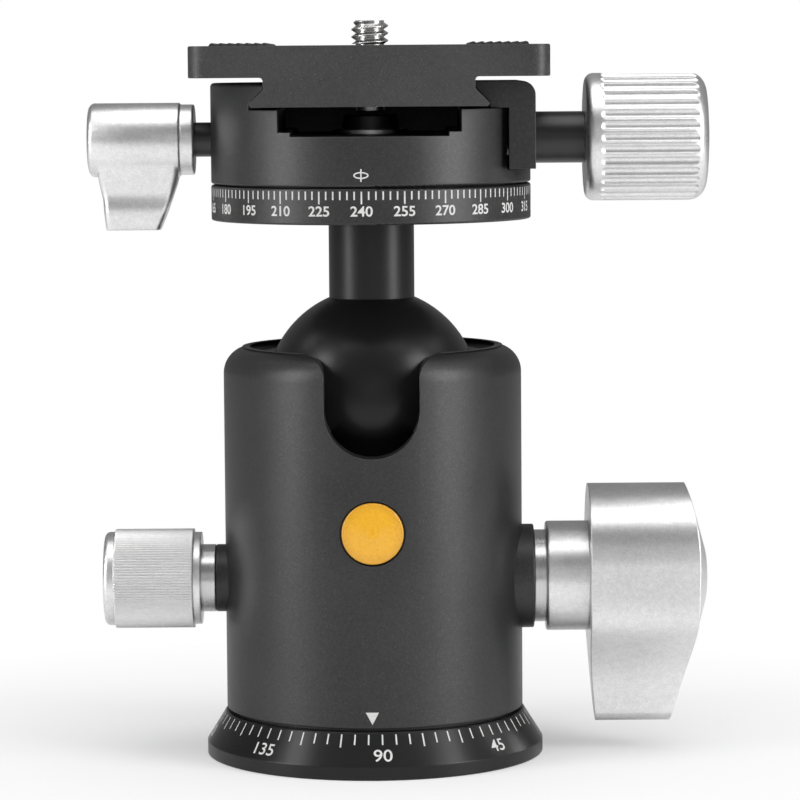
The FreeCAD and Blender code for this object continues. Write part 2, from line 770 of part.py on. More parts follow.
def wing_sections():
    """Widths and centres of the wing at four heights, from its crown to its tip, relative to the axis."""
    top = number("wing_top")
    low = -number("wing_bottom")
    start = number("wing_start")
    end = number("wing_end")
    full = number("wing_thickness") / 2
    tip = number("wing_tip_thickness") / 2
    outline = Part.BSplineCurve()
    outline.interpolate([
        FreeCAD.Vector(end - 1.9, 0, top),
        FreeCAD.Vector(end - 0.2, 0, top * 0.5),
        FreeCAD.Vector(end, 0, 0),
        FreeCAD.Vector(end - 0.6, 0, low * 0.38),
        FreeCAD.Vector(end - 2.4, 0, low * 0.68),
        FreeCAD.Vector(end - 4.7, 0, low),
    ])
    inner = Part.BSplineCurve()
    inner.interpolate([
        FreeCAD.Vector(start + 1.2, 0, low),
        FreeCAD.Vector(start + 0.4, 0, low * 0.68),
        FreeCAD.Vector(start, 0, low * 0.38),
    ], FinalTangent=FreeCAD.Vector(0, 0, 1))
    edges = [
        outline.toShape(),
        Part.makeLine(FreeCAD.Vector(end - 4.7, 0, low), FreeCAD.Vector(start + 1.2, 0, low)),
        inner.toShape(),
        Part.makeLine(FreeCAD.Vector(start, 0, low * 0.38), FreeCAD.Vector(start, 0, top)),
        Part.makeLine(FreeCAD.Vector(start, 0, top), FreeCAD.Vector(end - 1.9, 0, top)),
    ]
    return Part.Face(Part.Wire(edges)), top, low, full, tip


def wing_solid():
    """The grip seen from the end is a round crown drawn down to a narrower lobe."""
    side, top, low, full, tip = wing_sections()
    slab = side.extrude(FreeCAD.Vector(0, full * 4, 0))
    slab.translate(FreeCAD.Vector(0, -full * 2, 0))
    crown = Part.Arc(FreeCAD.Vector(0, full * 1.5, top - full * 1.5), FreeCAD.Vector(0, 0, top),
                     FreeCAD.Vector(0, -full * 1.5, top - full * 1.5))
    points = [
        (full * 1.5, top - full * 1.5), (full * 1.32, -full), (full * 0.72, low * 0.55),
        (tip, low * 0.8), (tip * 0.9, low + 1.6),
    ]
    flank = Part.BSplineCurve()
    flank.interpolate([FreeCAD.Vector(0, y, z) for y, z in points],
                      InitialTangent=FreeCAD.Vector(0, 0, -1), FinalTangent=FreeCAD.Vector(0, -0.3, -1))
    other = Part.BSplineCurve()
    other.interpolate([FreeCAD.Vector(0, -y, z) for y, z in reversed(points)],
                      InitialTangent=FreeCAD.Vector(0, -0.3, 1), FinalTangent=FreeCAD.Vector(0, 0, 1))
    bottom = Part.Arc(FreeCAD.Vector(0, tip * 0.9, low + 1.6), FreeCAD.Vector(0, 0, low),
                      FreeCAD.Vector(0, -tip * 0.9, low + 1.6))
    end_view = Part.Wire(Part.__sortEdges__([crown.toShape(), flank.toShape(), bottom.toShape(),
                         other.toShape()]))
    bar = Part.Face(end_view).extrude(FreeCAD.Vector(number("wing_end") + 5, 0, 0))
    return bar.common(slab)


main_grip_shape = wing_solid()
main_grip_shape = main_grip_shape.cut(Part.makeCylinder(
    number("main_spindle_radius + seat_gap"), number("wing_end"),
    FreeCAD.Vector(0, 0, 0), FreeCAD.Vector(1, 0, 0)))
main_grip_shape = main_grip_shape.cut(Part.makeCylinder(
    number("main_cap_radius + seat_gap"), 9,
    FreeCAD.Vector(number("wing_end - main_cap_seat"), 0, 0), FreeCAD.Vector(1, 0, 0)))
main_grip = shaped("main_knob_grip", main_grip_shape)
main_grip.Placement.Base.z = number("lock_axis")
main_grip.setExpression("Placement.Base.z", bound("lock_axis"))

main_cap = turned("main_knob_cap", [
    ("wing_end - main_cap_seat", "0"),
    ("wing_end - main_cap_seat", "main_cap_radius"),
    ("wing_end + running_gap", "main_cap_radius", "swing_gap"),
    ("wing_end + main_cap_rise", "main_cap_radius * 0.35", "main_cap_radius"),
    ("wing_end + main_cap_rise", "0"),
], "H_Axis", "lock_axis")
keep(main_spindle, main_hub, main_grip, main_cap)

# Pan lock knob: spindle with a wide stem, knurled grip and end cap, all on the left.
pan_spindle = turned("pan_lock_spindle", [
    ("-(pan_wedge_outer + seat_gap)", "0"),
    ("-(pan_wedge_outer + seat_gap)", "pan_spindle_radius"),
    ("-(pan_bush_end + running_gap)", "pan_spindle_radius"),
    ("-(pan_bush_end + running_gap)", "pan_bush_radius"),
    ("-pan_stem_end", "pan_bush_radius"),
    ("-pan_stem_end", "pan_spindle_radius"),
    ("-(pan_grip_end - 2)", "pan_spindle_radius"),
    ("-(pan_grip_end - 2)", "0"),
], "H_Axis", "lock_axis")


def knurled_shape():
    """Fine straight teeth: a prism over a toothed outline, with a plain collar at its inner end."""
    count = int(number("pan_tooth_count"))
    outer = number("pan_grip_radius")
    root = number("pan_grip_radius - pan_tooth_depth")
    start = number("pan_grip_start")
    end = number("pan_grip_end")
    points = []
    for k in range(count * 2 + 1):
        reach = root if k % 2 else outer
        spin = math.pi * k / count
        points.append(FreeCAD.Vector(-start, reach * math.cos(spin), reach * math.sin(spin)))
    points[-1] = points[0]
    teeth = Part.Face(Part.makePolygon(points)).extrude(FreeCAD.Vector(start - end, 0, 0))
    collar = Part.makeCylinder(number("pan_rim_radius"), number("pan_grip_start - pan_stem_end"),
                               FreeCAD.Vector(-start, 0, 0), FreeCAD.Vector(1, 0, 0))
    bore = Part.makeCylinder(number("pan_spindle_radius + seat_gap"), 99,
                             FreeCAD.Vector(-90, 0, 0), FreeCAD.Vector(1, 0, 0))
    return teeth.fuse(collar).cut(bore)


pan_grip = shaped("pan_lock_grip", knurled_shape())
pan_grip.setExpression("Placement.Base.z", bound("lock_axis"))
pan_cap = turned("pan_lock_cap", [
    ("-pan_grip_end", "0"),
    ("-pan_grip_end", "pan_cap_radius"),
    ("-pan_cap_end", "pan_cap_radius", "swing_gap * 3"),
    ("-pan_cap_end", "0"),
], "H_Axis", "lock_axis")
keep(pan_spindle, pan_grip, pan_cap)

# Ball and neck are hollow and drawn together by a stud, a nut and a lock pin through both.
ball_cutters = [
    rod("ball_cavity", "ball_cavity_radius", "ball_centre - ball_radius - 1", "ball_cavity_top", "z"),
    rod("ball_stud_hole", "neck_bore + seat_gap", "ball_cavity_top - 1",
        "ball_centre + ball_radius + 1", "z"),
    rod("ball_neck_seat", "neck_radius + seat_gap", "neck_foot", "ball_centre + ball_radius + 1", "z"),
]
ball = cut("ball", ball_of("ball_blank", "ball_radius"), ball_cutters)
neck = turned("neck", [
    ("neck_bore + seat_gap", "neck_foot"),
    ("neck_radius", "neck_foot"),
    ("neck_radius", "neck_top"),
    ("neck_bore + seat_gap", "neck_top"),
])
stud = cut("stem_stud",
           rod("stud_blank", "stud_radius", "stud_bottom", "stud_top", "z"),
           [rod("stud_pin_hole", "lock_pin_radius + running_gap", "-20", "20", "x", ("0", "0",
                "ball_centre"))])


def hexagon(name, radius, low, high):
    prism = doc.addObject("Part::Prism", name)
    prism.Polygon = 6
    prism.setExpression("Circumradius", bound(radius))
    prism.setExpression("Height", bound(f"({high}) - ({low})"))
    prism.setExpression("Placement.Base.z", bound(low))
    return prism


nut = cut("stem_nut", hexagon("nut_blank", "nut_radius", "nut_bottom", "ball_cavity_top"), [
    rod("nut_bore", "stud_radius + seat_gap", "nut_bottom - 1", "ball_cavity_top + 1", "z"),
    rod("nut_pin_hole", "lock_pin_radius + running_gap", "-20", "20", "x", ("0", "0", "ball_centre")),
])
lock_pin = rod("stem_lock_pin", "lock_pin_radius", "-lock_pin_length / 2", "lock_pin_length / 2", "x",
               ("0", "0", "ball_centre"))
disc_blank = turned("pan_disc", [
    ("0", "neck_top"),
    ("disc_radius", "neck_top", "disc_chamfer"),
    ("disc_radius", "disc_top", "disc_chamfer"),
    ("disc_spigot_radius", "disc_top"),
    ("disc_spigot_radius", "disc_spigot_top"),
    ("0", "disc_spigot_top"),
])
pan_disc = cut("pan_disc", disc_blank, [
    rod("disc_stud_hole", "stud_radius + seat_gap", "neck_top - 1", "stud_top + seat_gap", "z"),
    rod("disc_screw_hole", "centre_screw_radius + running_gap", "centre_screw_end - running_gap",
        "disc_spigot_top + 1", "z"),
])
keep(ball, neck, stud, nut, lock_pin, pan_disc)

# Clamp body: a disc with a channel for the plate, a hooked wall on the left and a shelf for the jaw.
clamp_washer = turned("clamp_friction_washer", [
    ("disc_radius - 8", "disc_top"),
    ("disc_radius - 2", "disc_top"),
    ("disc_radius - 2", "clamp_bottom"),
    ("disc_radius - 8", "clamp_bottom"),
])
clamp_blank = turned("clamp_body", [
    ("disc_spigot_radius + running_gap", "clamp_bottom"),
    ("clamp_radius", "clamp_bottom", "disc_chamfer"),
    ("clamp_radius", "wall_top", "disc_chamfer * 2"),
    ("centre_screw_radius + running_gap * 2", "wall_top"),
    ("centre_screw_radius + running_gap * 2", "disc_spigot_top + slide_gap"),
    ("disc_spigot_radius + running_gap", "disc_spigot_top + slide_gap"),
])
flank_height = "dovetail_bottom + dovetail_land"
throat_height = f"{flank_height} + dovetail_half_width - throat_half_width"
plate_way = padded("plate_way", "XZ_Plane", [
    ("-(dovetail_half_width + jaw_gap)", "clamp_seat"),
    ("clamp_radius + 9", "clamp_seat"),
    ("clamp_radius + 9", "wall_top + 5"),
    ("-(throat_half_width + jaw_gap)", "wall_top + 5"),
    ("-(throat_half_width + jaw_gap)", throat_height),
    ("-(dovetail_half_width + jaw_gap)", flank_height),
], "clamp_radius * 3")
clamp_cutters = [
    plate_way,
    block("channel", ("-channel_half_width", "channel_half_width"), ("-clamp_radius - 1", "channel_back"),
          ("clamp_floor", "wall_top + 1")),
    block("channel_step", ("-(channel_half_width + 2.1)", "channel_half_width + 2.1"),
          ("-clamp_radius - 1", "channel_back"), ("clamp_floor + 0.7", "wall_top + 1")),
    block("jaw_room", ("jaw_plane", "clamp_radius + 1"), ("-clamp_radius - 1", "clamp_radius + 1"),
          ("jaw_shelf", "wall_top + 1")),
    rod("lever_hole", "lever_screw_radius + running_gap", "-(clamp_radius + 1)", "-lever_screw_inner", "x",
        ("0", "0", "top_axis")),
    rod("shoe_hole", "brake_shoe_radius + running_gap", "-(lever_screw_inner + 1)",
        "-(disc_spigot_radius - 1)", "x",
        ("0", "0", "disc_spigot_top - brake_shoe_radius")),
    rod("spindle_hole", "clamp_spindle_radius + running_gap", "clamp_spindle_inner - 0.2",
        "clamp_radius + 1", "x",
        ("0", "0", "top_axis")),
]
for side in ("-", ""):
    at = ("0", f"{side}guide_pin_spread", "guide_pin_height")
    word = "front" if side else "back"
    clamp_cutters.append(rod(f"guide_hole_{word}", "guide_pin_radius + seat_gap",
                             "jaw_plane - guide_pin_length * 0.6", "jaw_plane + 1", "x", at))
    clamp_cutters.append(rod(f"spring_hole_{word}", "spring_radius + spring_wire / 2 + slide_gap",
                             "jaw_plane - spring_pocket", "jaw_plane + 1", "x", at))
clamp_body = cut("clamp_body", clamp_blank, clamp_cutters)

screw_seat = "clamp_floor + centre_washer_thickness"
centre_washer = turned("centre_screw_washer", [
    ("centre_screw_radius + seat_gap", "clamp_floor"),
    ("centre_washer_radius", "clamp_floor"),
    ("centre_washer_radius", screw_seat),
    ("centre_screw_radius + seat_gap", screw_seat),
])
centre_screw_blank = turned("centre_screw", [
    ("0", "centre_screw_end"),
    ("centre_screw_radius", "centre_screw_end"),
    ("centre_screw_radius", screw_seat),
    ("centre_head_radius", screw_seat),
    ("centre_head_radius", f"{screw_seat} + centre_head_height", "slide_gap * 3"),
    ("0", f"{screw_seat} + centre_head_height"),
])
centre_screw = cut("centre_screw", centre_screw_blank, [
    hexagon("centre_screw_socket", "centre_screw_radius * 0.8", f"{screw_seat} + centre_head_height / 3",
            f"{screw_seat} + centre_head_height + 1")])
guide_pins = united("jaw_guide_pins", [
    rod(f"guide_pin_{word}", "guide_pin_radius", "jaw_plane - guide_pin_length * 0.6",
        "jaw_plane + guide_pin_length * 0.33", "x", ("0", f"{side}guide_pin_spread", "guide_pin_height"))
    for side, word in (("-", "front"), ("", "back"))])
keep(clamp_washer, clamp_body, centre_washer, centre_screw, guide_pins)

# Pan lever: its screw presses a brake shoe on the disc's spigot.
brake_shoe = rod("clamp_brake_shoe", "brake_shoe_radius", "-lever_screw_inner + seat_gap",
                 "-(disc_spigot_radius + running_gap)", "x", ("0", "0",
                    "disc_spigot_top - brake_shoe_radius"))
lever_screw = rod("lever_screw", "lever_screw_radius", "-(lever_hub_end - 4)",
                  "-(lever_screw_inner + running_gap)",
                  "x", ("0", "0", "top_axis"))
lever_collar = turned("lever_collar", [
    ("-lever_hub_start", "lever_screw_radius + seat_gap"),
    ("-lever_hub_start", "lever_collar_radius"),
    ("-lever_collar_start", "lever_collar_radius", "swing_gap"),
    ("-lever_collar_start", "lever_screw_radius + seat_gap"),
], "H_Axis", "top_axis")


def lever_shape():
    """A round hub with a flat thumb blade that narrows and thins as it goes down."""
    hub_start = number("lever_hub_start")
    hub_end = number("lever_hub_end")
    radius = number("lever_hub_radius")
    hub = Part.makeCylinder(radius, hub_end - hub_start, FreeCAD.Vector(-hub_end, 0, 0),
                            FreeCAD.Vector(1, 0, 0))
    circles = [e for e in hub.Edges if isinstance(e.Curve, Part.Circle)]
    rim = [e for e in circles if abs(e.Curve.Center.x + hub_end) < 1e-6]
    hub = hub.makeFillet(number("lever_hub_round"), rim)
    reach = number("lever_reach")
    middle = number("lever_tip_centre")
    levels = []
    for drop, inner, outer, depth in (
        (0.0, hub_start + 0.6, hub_end - 0.8, number("lever_thickness")),
        (0.34, hub_start + 0.7, hub_end - 1.0, number("lever_thickness") * 0.8),
        (0.62, hub_start + 1.9, hub_end - 1.7, number("lever_thickness") * 0.55),
        (1.0, middle - number("lever_tip_width") / 2, middle + number("lever_tip_width") / 2,
         number("lever_tip_thickness")),
    ):
        z = -reach * drop
        edge = depth * 0.35
        corners = [
            FreeCAD.Vector(-outer + edge, -depth / 2, z), FreeCAD.Vector(-inner - edge, -depth / 2, z),
            FreeCAD.Vector(-inner, -depth / 2 + edge, z), FreeCAD.Vector(-inner, depth / 2 - edge, z),
            FreeCAD.Vector(-inner - edge, depth / 2, z), FreeCAD.Vector(-outer + edge, depth / 2, z),
            FreeCAD.Vector(-outer, depth / 2 - edge, z), FreeCAD.Vector(-outer, -depth / 2 + edge, z),
        ]
        levels.append(Part.makePolygon(corners + corners[:1]))
    blade = Part.makeLoft(levels, True, True)
    bore = Part.makeCylinder(number("lever_screw_radius + seat_gap"), hub_end - 4 - hub_start + 1,
                             FreeCAD.Vector(-hub_end + 4, 0, 0), FreeCAD.Vector(1, 0, 0))
    return hub.fuse(blade).removeSplitter().cut(bore)


pan_lever = shaped("pan_lever", lever_shape())
pan_lever.setExpression("Placement.Base.z", bound("top_axis"))
keep(brake_shoe, lever_screw, lever_collar, pan_lever)

# Jaw: slides on two pins, pushed open by springs and drawn in by the clamp knob.
jaw_blank = padded("clamp_jaw", "XZ_Plane", [
    ("jaw_plane + jaw_gap", "jaw_shelf + slide_gap"),
    ("jaw_outer", "jaw_shelf + slide_gap"),
    ("jaw_outer", "jaw_top", "jaw_round"),
    ("throat_half_width + jaw_gap", "jaw_top", "swing_gap"),
    ("throat_half_width + jaw_gap", throat_height),
    ("dovetail_half_width + jaw_gap", flank_height),
    ("dovetail_half_width + jaw_gap", "clamp_seat + slide_gap"),
    ("jaw_plane + jaw_gap", "clamp_seat + slide_gap"),
], "jaw_half_length * 2")
jaw_cutters = [rod("jaw_spindle_hole", "clamp_spindle_radius + running_gap", "jaw_plane - 2",
                   "jaw_outer + 1", "x",
                   ("0", "0", "top_axis"))]
for side in ("-", ""):
    word = "front" if side else "back"
    jaw_cutters.append(rod(f"jaw_guide_hole_{word}", "guide_pin_radius + running_gap", "jaw_plane - 1",
                           "jaw_outer - 0.4", "x", ("0", f"{side}guide_pin_spread", "guide_pin_height")))
clamp_jaw = cut("clamp_jaw", jaw_blank, jaw_cutters)


def spring_shape():
    """Two open coil springs round the guide pins, each one square wire of a few turns."""
    radius = number("spring_radius")
    wire = number("spring_wire / 2")
    corners = ((wire, wire), (-wire, wire), (-wire, -wire), (wire, -wire), (wire, wire))
    turns = int(number("spring_turns"))
    length = number("spring_pocket + jaw_gap - seat_gap * 2") - 2 * wire
    start = number("jaw_plane - spring_pocket + seat_gap") + wire
    pieces = []
    for side in (-1, 1):
        helix = Part.makeHelix(length / turns, length, radius)
        section = Part.makePolygon([FreeCAD.Vector(radius + x, 0, z) for x, z in corners])
        coil = Part.Wire(helix).makePipeShell([section], True, True)
        coil.rotate(FreeCAD.Vector(), FreeCAD.Vector(0, 1, 0), 90)
        coil.translate(FreeCAD.Vector(start, side * number("guide_pin_spread"), number("guide_pin_height")))
        pieces.append(coil)
    return Part.makeCompound(pieces)


jaw_springs = shaped("jaw_springs", spring_shape())

clamp_spindle = turned("clamp_spindle", [
    ("clamp_spindle_inner", "0"),
    ("clamp_spindle_inner", "clamp_spindle_radius", "swing_gap"),
    ("jaw_outer + running_gap", "clamp_spindle_radius"),
    ("jaw_outer + running_gap", "sleeve_radius"),
    ("clamp_knob_start - 0.1", "sleeve_radius"),
    ("clamp_knob_start - 0.1", "clamp_spindle_radius"),
    ("clamp_knob_end - 4", "clamp_spindle_radius"),
    ("clamp_knob_end - 4", "0"),
], "H_Axis", "top_axis")
knob_blank = turned("clamp_knob_turned", [
    ("clamp_knob_start", "clamp_spindle_radius + seat_gap"),
    ("clamp_knob_start", "clamp_knob_radius", "clamp_knob_round * 0.5"),
    ("clamp_knob_end - 0.6", "clamp_knob_radius", "clamp_knob_round"),
    ("clamp_knob_end", "clamp_knob_radius * 0.4", "clamp_knob_radius * 0.4"),
    ("clamp_knob_end", "0"),
    ("clamp_knob_end - 4 + seat_gap", "0"),
    ("clamp_knob_end - 4 + seat_gap", "clamp_spindle_radius + seat_gap"),
], "H_Axis", "top_axis")
doc.recompute()


def fluted(blank):
    """The knob's round-ended grooves, evenly round its rim, cut at once."""
    count = int(number("flute_count"))
    radius = number("flute_radius")
    centre = number("clamp_knob_radius - flute_depth + flute_radius")
    start = number("flute_start")
    end = number("flute_end")
    slope = math.sqrt(0.5) * radius
    half_outline = Part.Wire([
        Part.Arc(FreeCAD.Vector(start, 0, 0), FreeCAD.Vector(start + radius - slope, 0, slope),
                 FreeCAD.Vector(start + radius, 0, radius)).toShape(),
        Part.makeLine(FreeCAD.Vector(start + radius, 0, radius), FreeCAD.Vector(end - radius, 0, radius)),
        Part.Arc(FreeCAD.Vector(end - radius, 0, radius), FreeCAD.Vector(end - radius + slope, 0, slope),
                 FreeCAD.Vector(end, 0, 0)).toShape(),
        Part.makeLine(FreeCAD.Vector(end, 0, 0), FreeCAD.Vector(start, 0, 0)),
    ])
    groove = Part.Face(half_outline).revolve(FreeCAD.Vector(), FreeCAD.Vector(1, 0, 0), 360)
    cutters = []
    for k in range(count):
        spin = 360 * (k + 0.5) / count
        cutter = groove.copy()
        cutter.translate(FreeCAD.Vector(0, 0, centre))
        cutter.rotate(FreeCAD.Vector(), FreeCAD.Vector(1, 0, 0), spin)
        cutter.translate(FreeCAD.Vector(0, 0, number("top_axis")))
        cutters.append(cutter)
    return blank.Shape.cut(cutters)


clamp_knob = shaped("clamp_knob", fluted(knob_blank))
keep(clamp_jaw, jaw_springs, clamp_spindle, clamp_knob)

# Quick-release plate: a flat top on a dovetail, with rubber pads and the camera screw.
plate_blank = padded("release_plate", "XZ_Plane", [
    ("-(dovetail_half_width - dovetail_chamfer)", "dovetail_bottom"),
    ("dovetail_half_width - dovetail_chamfer", "dovetail_bottom"),
    ("dovetail_half_width", "dovetail_bottom + dovetail_chamfer"),
    ("dovetail_half_width", flank_height),
    ("throat_half_width", throat_height),
    ("throat_half_width", "plate_wing_bottom", "swing_gap * 2"),
    ("plate_width / 2", "plate_wing_bottom", "swing_gap"),
    ("plate_width / 2", "plate_top", "swing_gap * 1.2"),
    ("-plate_width / 2", "plate_top", "swing_gap * 1.2"),
    ("-plate_width / 2", "plate_wing_bottom", "swing_gap"),
    ("-throat_half_width", "plate_wing_bottom", "swing_gap * 2"),
    ("-throat_half_width", throat_height),
    ("-dovetail_half_width", flank_height),
    ("-dovetail_half_width", "dovetail_bottom + dovetail_chamfer"),
], "plate_length")
plate_outline = padded("plate_outline", "XY_Plane", [
    ("-plate_width / 2", "-plate_length / 2", "plate_corner"),
    ("plate_width / 2", "-plate_length / 2", "plate_corner"),
    ("plate_width / 2", "plate_length / 2", "plate_corner"),
    ("-plate_width / 2", "plate_length / 2", "plate_corner"),
], "plate_top * 3")
plate_rounded = common("plate_rounded", plate_blank, plate_outline)
plate_cutters = [
    rod("camera_screw_hole", "camera_screw_radius + running_gap", "dovetail_bottom - 1",
        "plate_top + 1", "z"),
    rod("camera_head_seat", "camera_head_radius + slide_gap", "dovetail_bottom - 1",
        "camera_head_bottom + camera_head_height + seat_gap", "z"),
]
pads = []
for side, word in ((-1, "left"), (1, "right")):
    low, high = ("pad_inner", "pad_outer") if side > 0 else ("-pad_outer", "-pad_inner")
    plate_cutters.append(block(f"pad_seat_{word}", (low, high), ("-pad_length / 2", "pad_length / 2"),
                               ("plate_top - pad_recess", "plate_top + 1")))
release_plate = cut("release_plate", plate_rounded, plate_cutters)


def pad_shape(side):
    """A rubber strip with round ribs along Y, standing a little above the plate."""
    inner = number("pad_inner + seat_gap")
    outer = number("pad_outer - seat_gap")
    half = number("pad_length / 2 - seat_gap")
    base = number("plate_top - pad_recess")
    top = number("plate_top")
    rise = number("pad_rib_height")
    count = int(number("pad_rib_count"))
    gap = number("pad_rib_gap")
    pitch = (outer - inner) / count
    edges = [Part.makeLine(FreeCAD.Vector(inner, -half, base), FreeCAD.Vector(outer, -half, base)),
             Part.makeLine(FreeCAD.Vector(outer, -half, base), FreeCAD.Vector(outer, -half, top))]
    spot = FreeCAD.Vector(outer, -half, top)
    for k in reversed(range(count)):
        right = FreeCAD.Vector(inner + (k + 1) * pitch - gap / 2, -half, top)
        crest = FreeCAD.Vector(inner + (k + 0.5) * pitch, -half, top + rise)
        left = FreeCAD.Vector(inner + k * pitch + gap / 2, -half, top)
        edges.append(Part.makeLine(spot, right))
        edges.append(Part.Arc(right, crest, left).toShape())
        spot = left
    corner = FreeCAD.Vector(inner, -half, top)
    edges.append(Part.makeLine(spot, corner))
    edges.append(Part.makeLine(corner, FreeCAD.Vector(inner, -half, base)))
    pad = Part.Face(Part.Wire(edges)).extrude(FreeCAD.Vector(0, 2 * half, 0))
    if side < 0:
        pad = pad.mirror(FreeCAD.Vector(), FreeCAD.Vector(1, 0, 0))
    return pad


pad_left = shaped("rubber_pad_left", pad_shape(-1))
pad_right = shaped("rubber_pad_right", pad_shape(1))

# Camera screw, 1/4 in: a flat head under the plate and a thin neck through it, so that the plate
# keeps the screw. The thread above is a plain shank at its major radius.
camera_blank = turned("camera_screw", [
    ("0", "camera_head_bottom"),
    ("camera_head_radius", "camera_head_bottom", "swing_gap"),
    ("camera_head_radius", "camera_head_bottom + camera_head_height"),
    ("camera_neck_radius", "camera_head_bottom + camera_head_height"),
    ("camera_neck_radius", "plate_top + camera_thread_gap"),
    ("camera_screw_radius", "plate_top + camera_thread_gap"),
    ("camera_screw_radius", "plate_top + camera_screw_rise - (camera_screw_radius - camera_nose_radius)"),
    ("camera_nose_radius", "plate_top + camera_screw_rise"),
    ("0", "plate_top + camera_screw_rise"),
])
camera_screw = cut("camera_screw", camera_blank, [
    block("camera_slot", ("-camera_head_radius - 1", "camera_head_radius + 1"), ("-0.6", "0.6"),
          ("camera_head_bottom - 1", "camera_head_bottom + 0.9"))])
keep(release_plate, pad_left, pad_right, camera_screw)

doc.recompute()
sheet.clear("D1")
doc.recompute()

for item in doc.Objects:
    if "Invalid" in item.State or "Error" in item.State:
        raise SystemExit(f"{item.Label} could not be worked out: {item.State}")
for node in NODES:
    if node.Shape.isNull() or not node.Shape.isValid() or node.Shape.Volume <= 0:
        raise SystemExit(f"{node.Label} has no valid solid: {node.Shape.Volume} {node.Shape.isNull()}")
    if node.Shape.BoundBox.DiagonalLength > 400:
        raise SystemExit(f"{node.Label} is too large")
    node.Shape.exportStep(f"parts/{node.Label}.step")
    print(f"{node.Label:24s} {node.Shape.Volume:10.1f} mm3  solids {len(node.Shape.Solids)}")
print(len(NODES), "nodes")
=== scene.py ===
import math

import bmesh
import bpy
from mathutils import Euler, Matrix, Vector


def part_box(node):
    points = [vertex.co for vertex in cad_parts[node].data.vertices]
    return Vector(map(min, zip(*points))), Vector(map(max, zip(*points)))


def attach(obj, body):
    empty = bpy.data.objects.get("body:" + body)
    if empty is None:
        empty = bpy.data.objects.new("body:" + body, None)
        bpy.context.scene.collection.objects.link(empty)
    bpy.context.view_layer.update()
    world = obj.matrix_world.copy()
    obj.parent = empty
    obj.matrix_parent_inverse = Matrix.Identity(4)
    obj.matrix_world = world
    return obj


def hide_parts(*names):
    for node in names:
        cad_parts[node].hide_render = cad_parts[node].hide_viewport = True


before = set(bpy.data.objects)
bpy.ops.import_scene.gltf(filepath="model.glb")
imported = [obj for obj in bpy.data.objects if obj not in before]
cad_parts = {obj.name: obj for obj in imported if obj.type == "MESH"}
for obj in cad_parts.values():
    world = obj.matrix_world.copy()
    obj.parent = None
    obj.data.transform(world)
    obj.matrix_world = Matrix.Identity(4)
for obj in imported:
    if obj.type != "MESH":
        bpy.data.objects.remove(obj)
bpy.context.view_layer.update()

MM = 0.001

# Base: a turned aluminium ring, anodised gloss black, with a steel bush for the tripod's
# screw. A plate with steel screws holds the housing on it. The cone carries a printed
# scale that counts down to the right.
BASE_FOOT = Vector((29.2 * MM, 2.3 * MM))
BASE_CREST = Vector((25.9 * MM, 7.6 * MM))
BASE_SCALE_STEP = 5
BASE_SCALE_LONG_STEP = 15
BASE_SCALE_NUMBER_STEP = 45
BASE_SCALE_FRONT = 90
BASE_SCALE_SHIFT = 3.0
BASE_TICK_HALF = 0.14 * MM
BASE_TICK_SHORT = 1.85 * MM
BASE_TICK_LONG = 2.35 * MM
BASE_TICK_GAP = 0.4 * MM
BASE_NUMBER_HEIGHT = 2.15 * MM
BASE_NUMBER_FOOT = 1.0 * MM
BASE_NUMBER_WEIGHT = 0.008
BASE_NUMBER_WIDTH = 1.16
PRINT_LIFT = 0.015 * MM
ALONG_Z = (0.0, 0.0, 1.0)
ROUGH_SPREAD = 0.06
DRIFT_LOW = 0.3
DRIFT_HIGH = 0.7
# Painted glints: the colour of the bright specks laid into the blasted finishes.
PAINTED_GLINT_COLOUR = (0.9, 0.9, 0.9, 1.0)
# Lighter edges of turned parts: part wear, part painted highlight.
TURNED_EDGE_BRIGHT = (0.85, 0.85, 0.85, 1.0)
TURNED_SHADE = 0.82


def new_group(name, inputs, outputs):
    """A shader group with float, colour or vector sockets."""
    group = bpy.data.node_groups.new(name, "ShaderNodeTree")
    for label, kind, value in inputs:
        socket = group.interface.new_socket(label, in_out="INPUT", socket_type="NodeSocket" + kind)
        socket.default_value = value
    for label, kind in outputs:
        group.interface.new_socket(label, in_out="OUTPUT", socket_type="NodeSocket" + kind)
    return group


class Graph:
    """A short way to add nodes and links to one node tree."""

    def __init__(self, tree):
        self.tree = tree

    def add(self, kind, settings=None, **inputs):
        node = self.tree.nodes.new(kind if kind.startswith("NodeGroup") else "ShaderNode" + kind)
        for key, value in (settings or {}).items():
            setattr(node, key, value)
        for key, value in inputs.items():
            self.put(node, key.replace("_", " "), value)
        return node

    def put(self, node, key, value):
        socket = node.inputs[int(key)] if key.isdigit() else node.inputs[key]
        if isinstance(value, bpy.types.NodeSocket):
            self.tree.links.new(value, socket)
        else:
            socket.default_value = value

    def math(self, operation, *values):
        node = self.add("Math", {"operation": operation})
        for k, value in enumerate(values):
            self.put(node, str(k), value)
        return node.outputs[0]

    def noise(self, place, scale, detail, rough=0.5):
        node = self.add("TexNoise", None, Vector=place, Scale=scale, Detail=detail, Roughness=rough)
        return node.outputs[0]

    def ramp(self, value, low, high, out_low=0.0, out_high=1.0):
        node = self.add("MapRange", {"clamp": True})
        self.put(node, "Value", value)
        self.put(node, "From Min", low)
        self.put(node, "From Max", high)
        self.put(node, "To Min", out_low)
        self.put(node, "To Max", out_high)
        return node.outputs[0]

    def mix(self, factor, first, second):
        node = self.add("Mix", {"data_type": "RGBA"})
        self.put(node, "0", factor)
        self.put(node, "6", first)
        self.put(node, "7", second)
        return node.outputs[2]


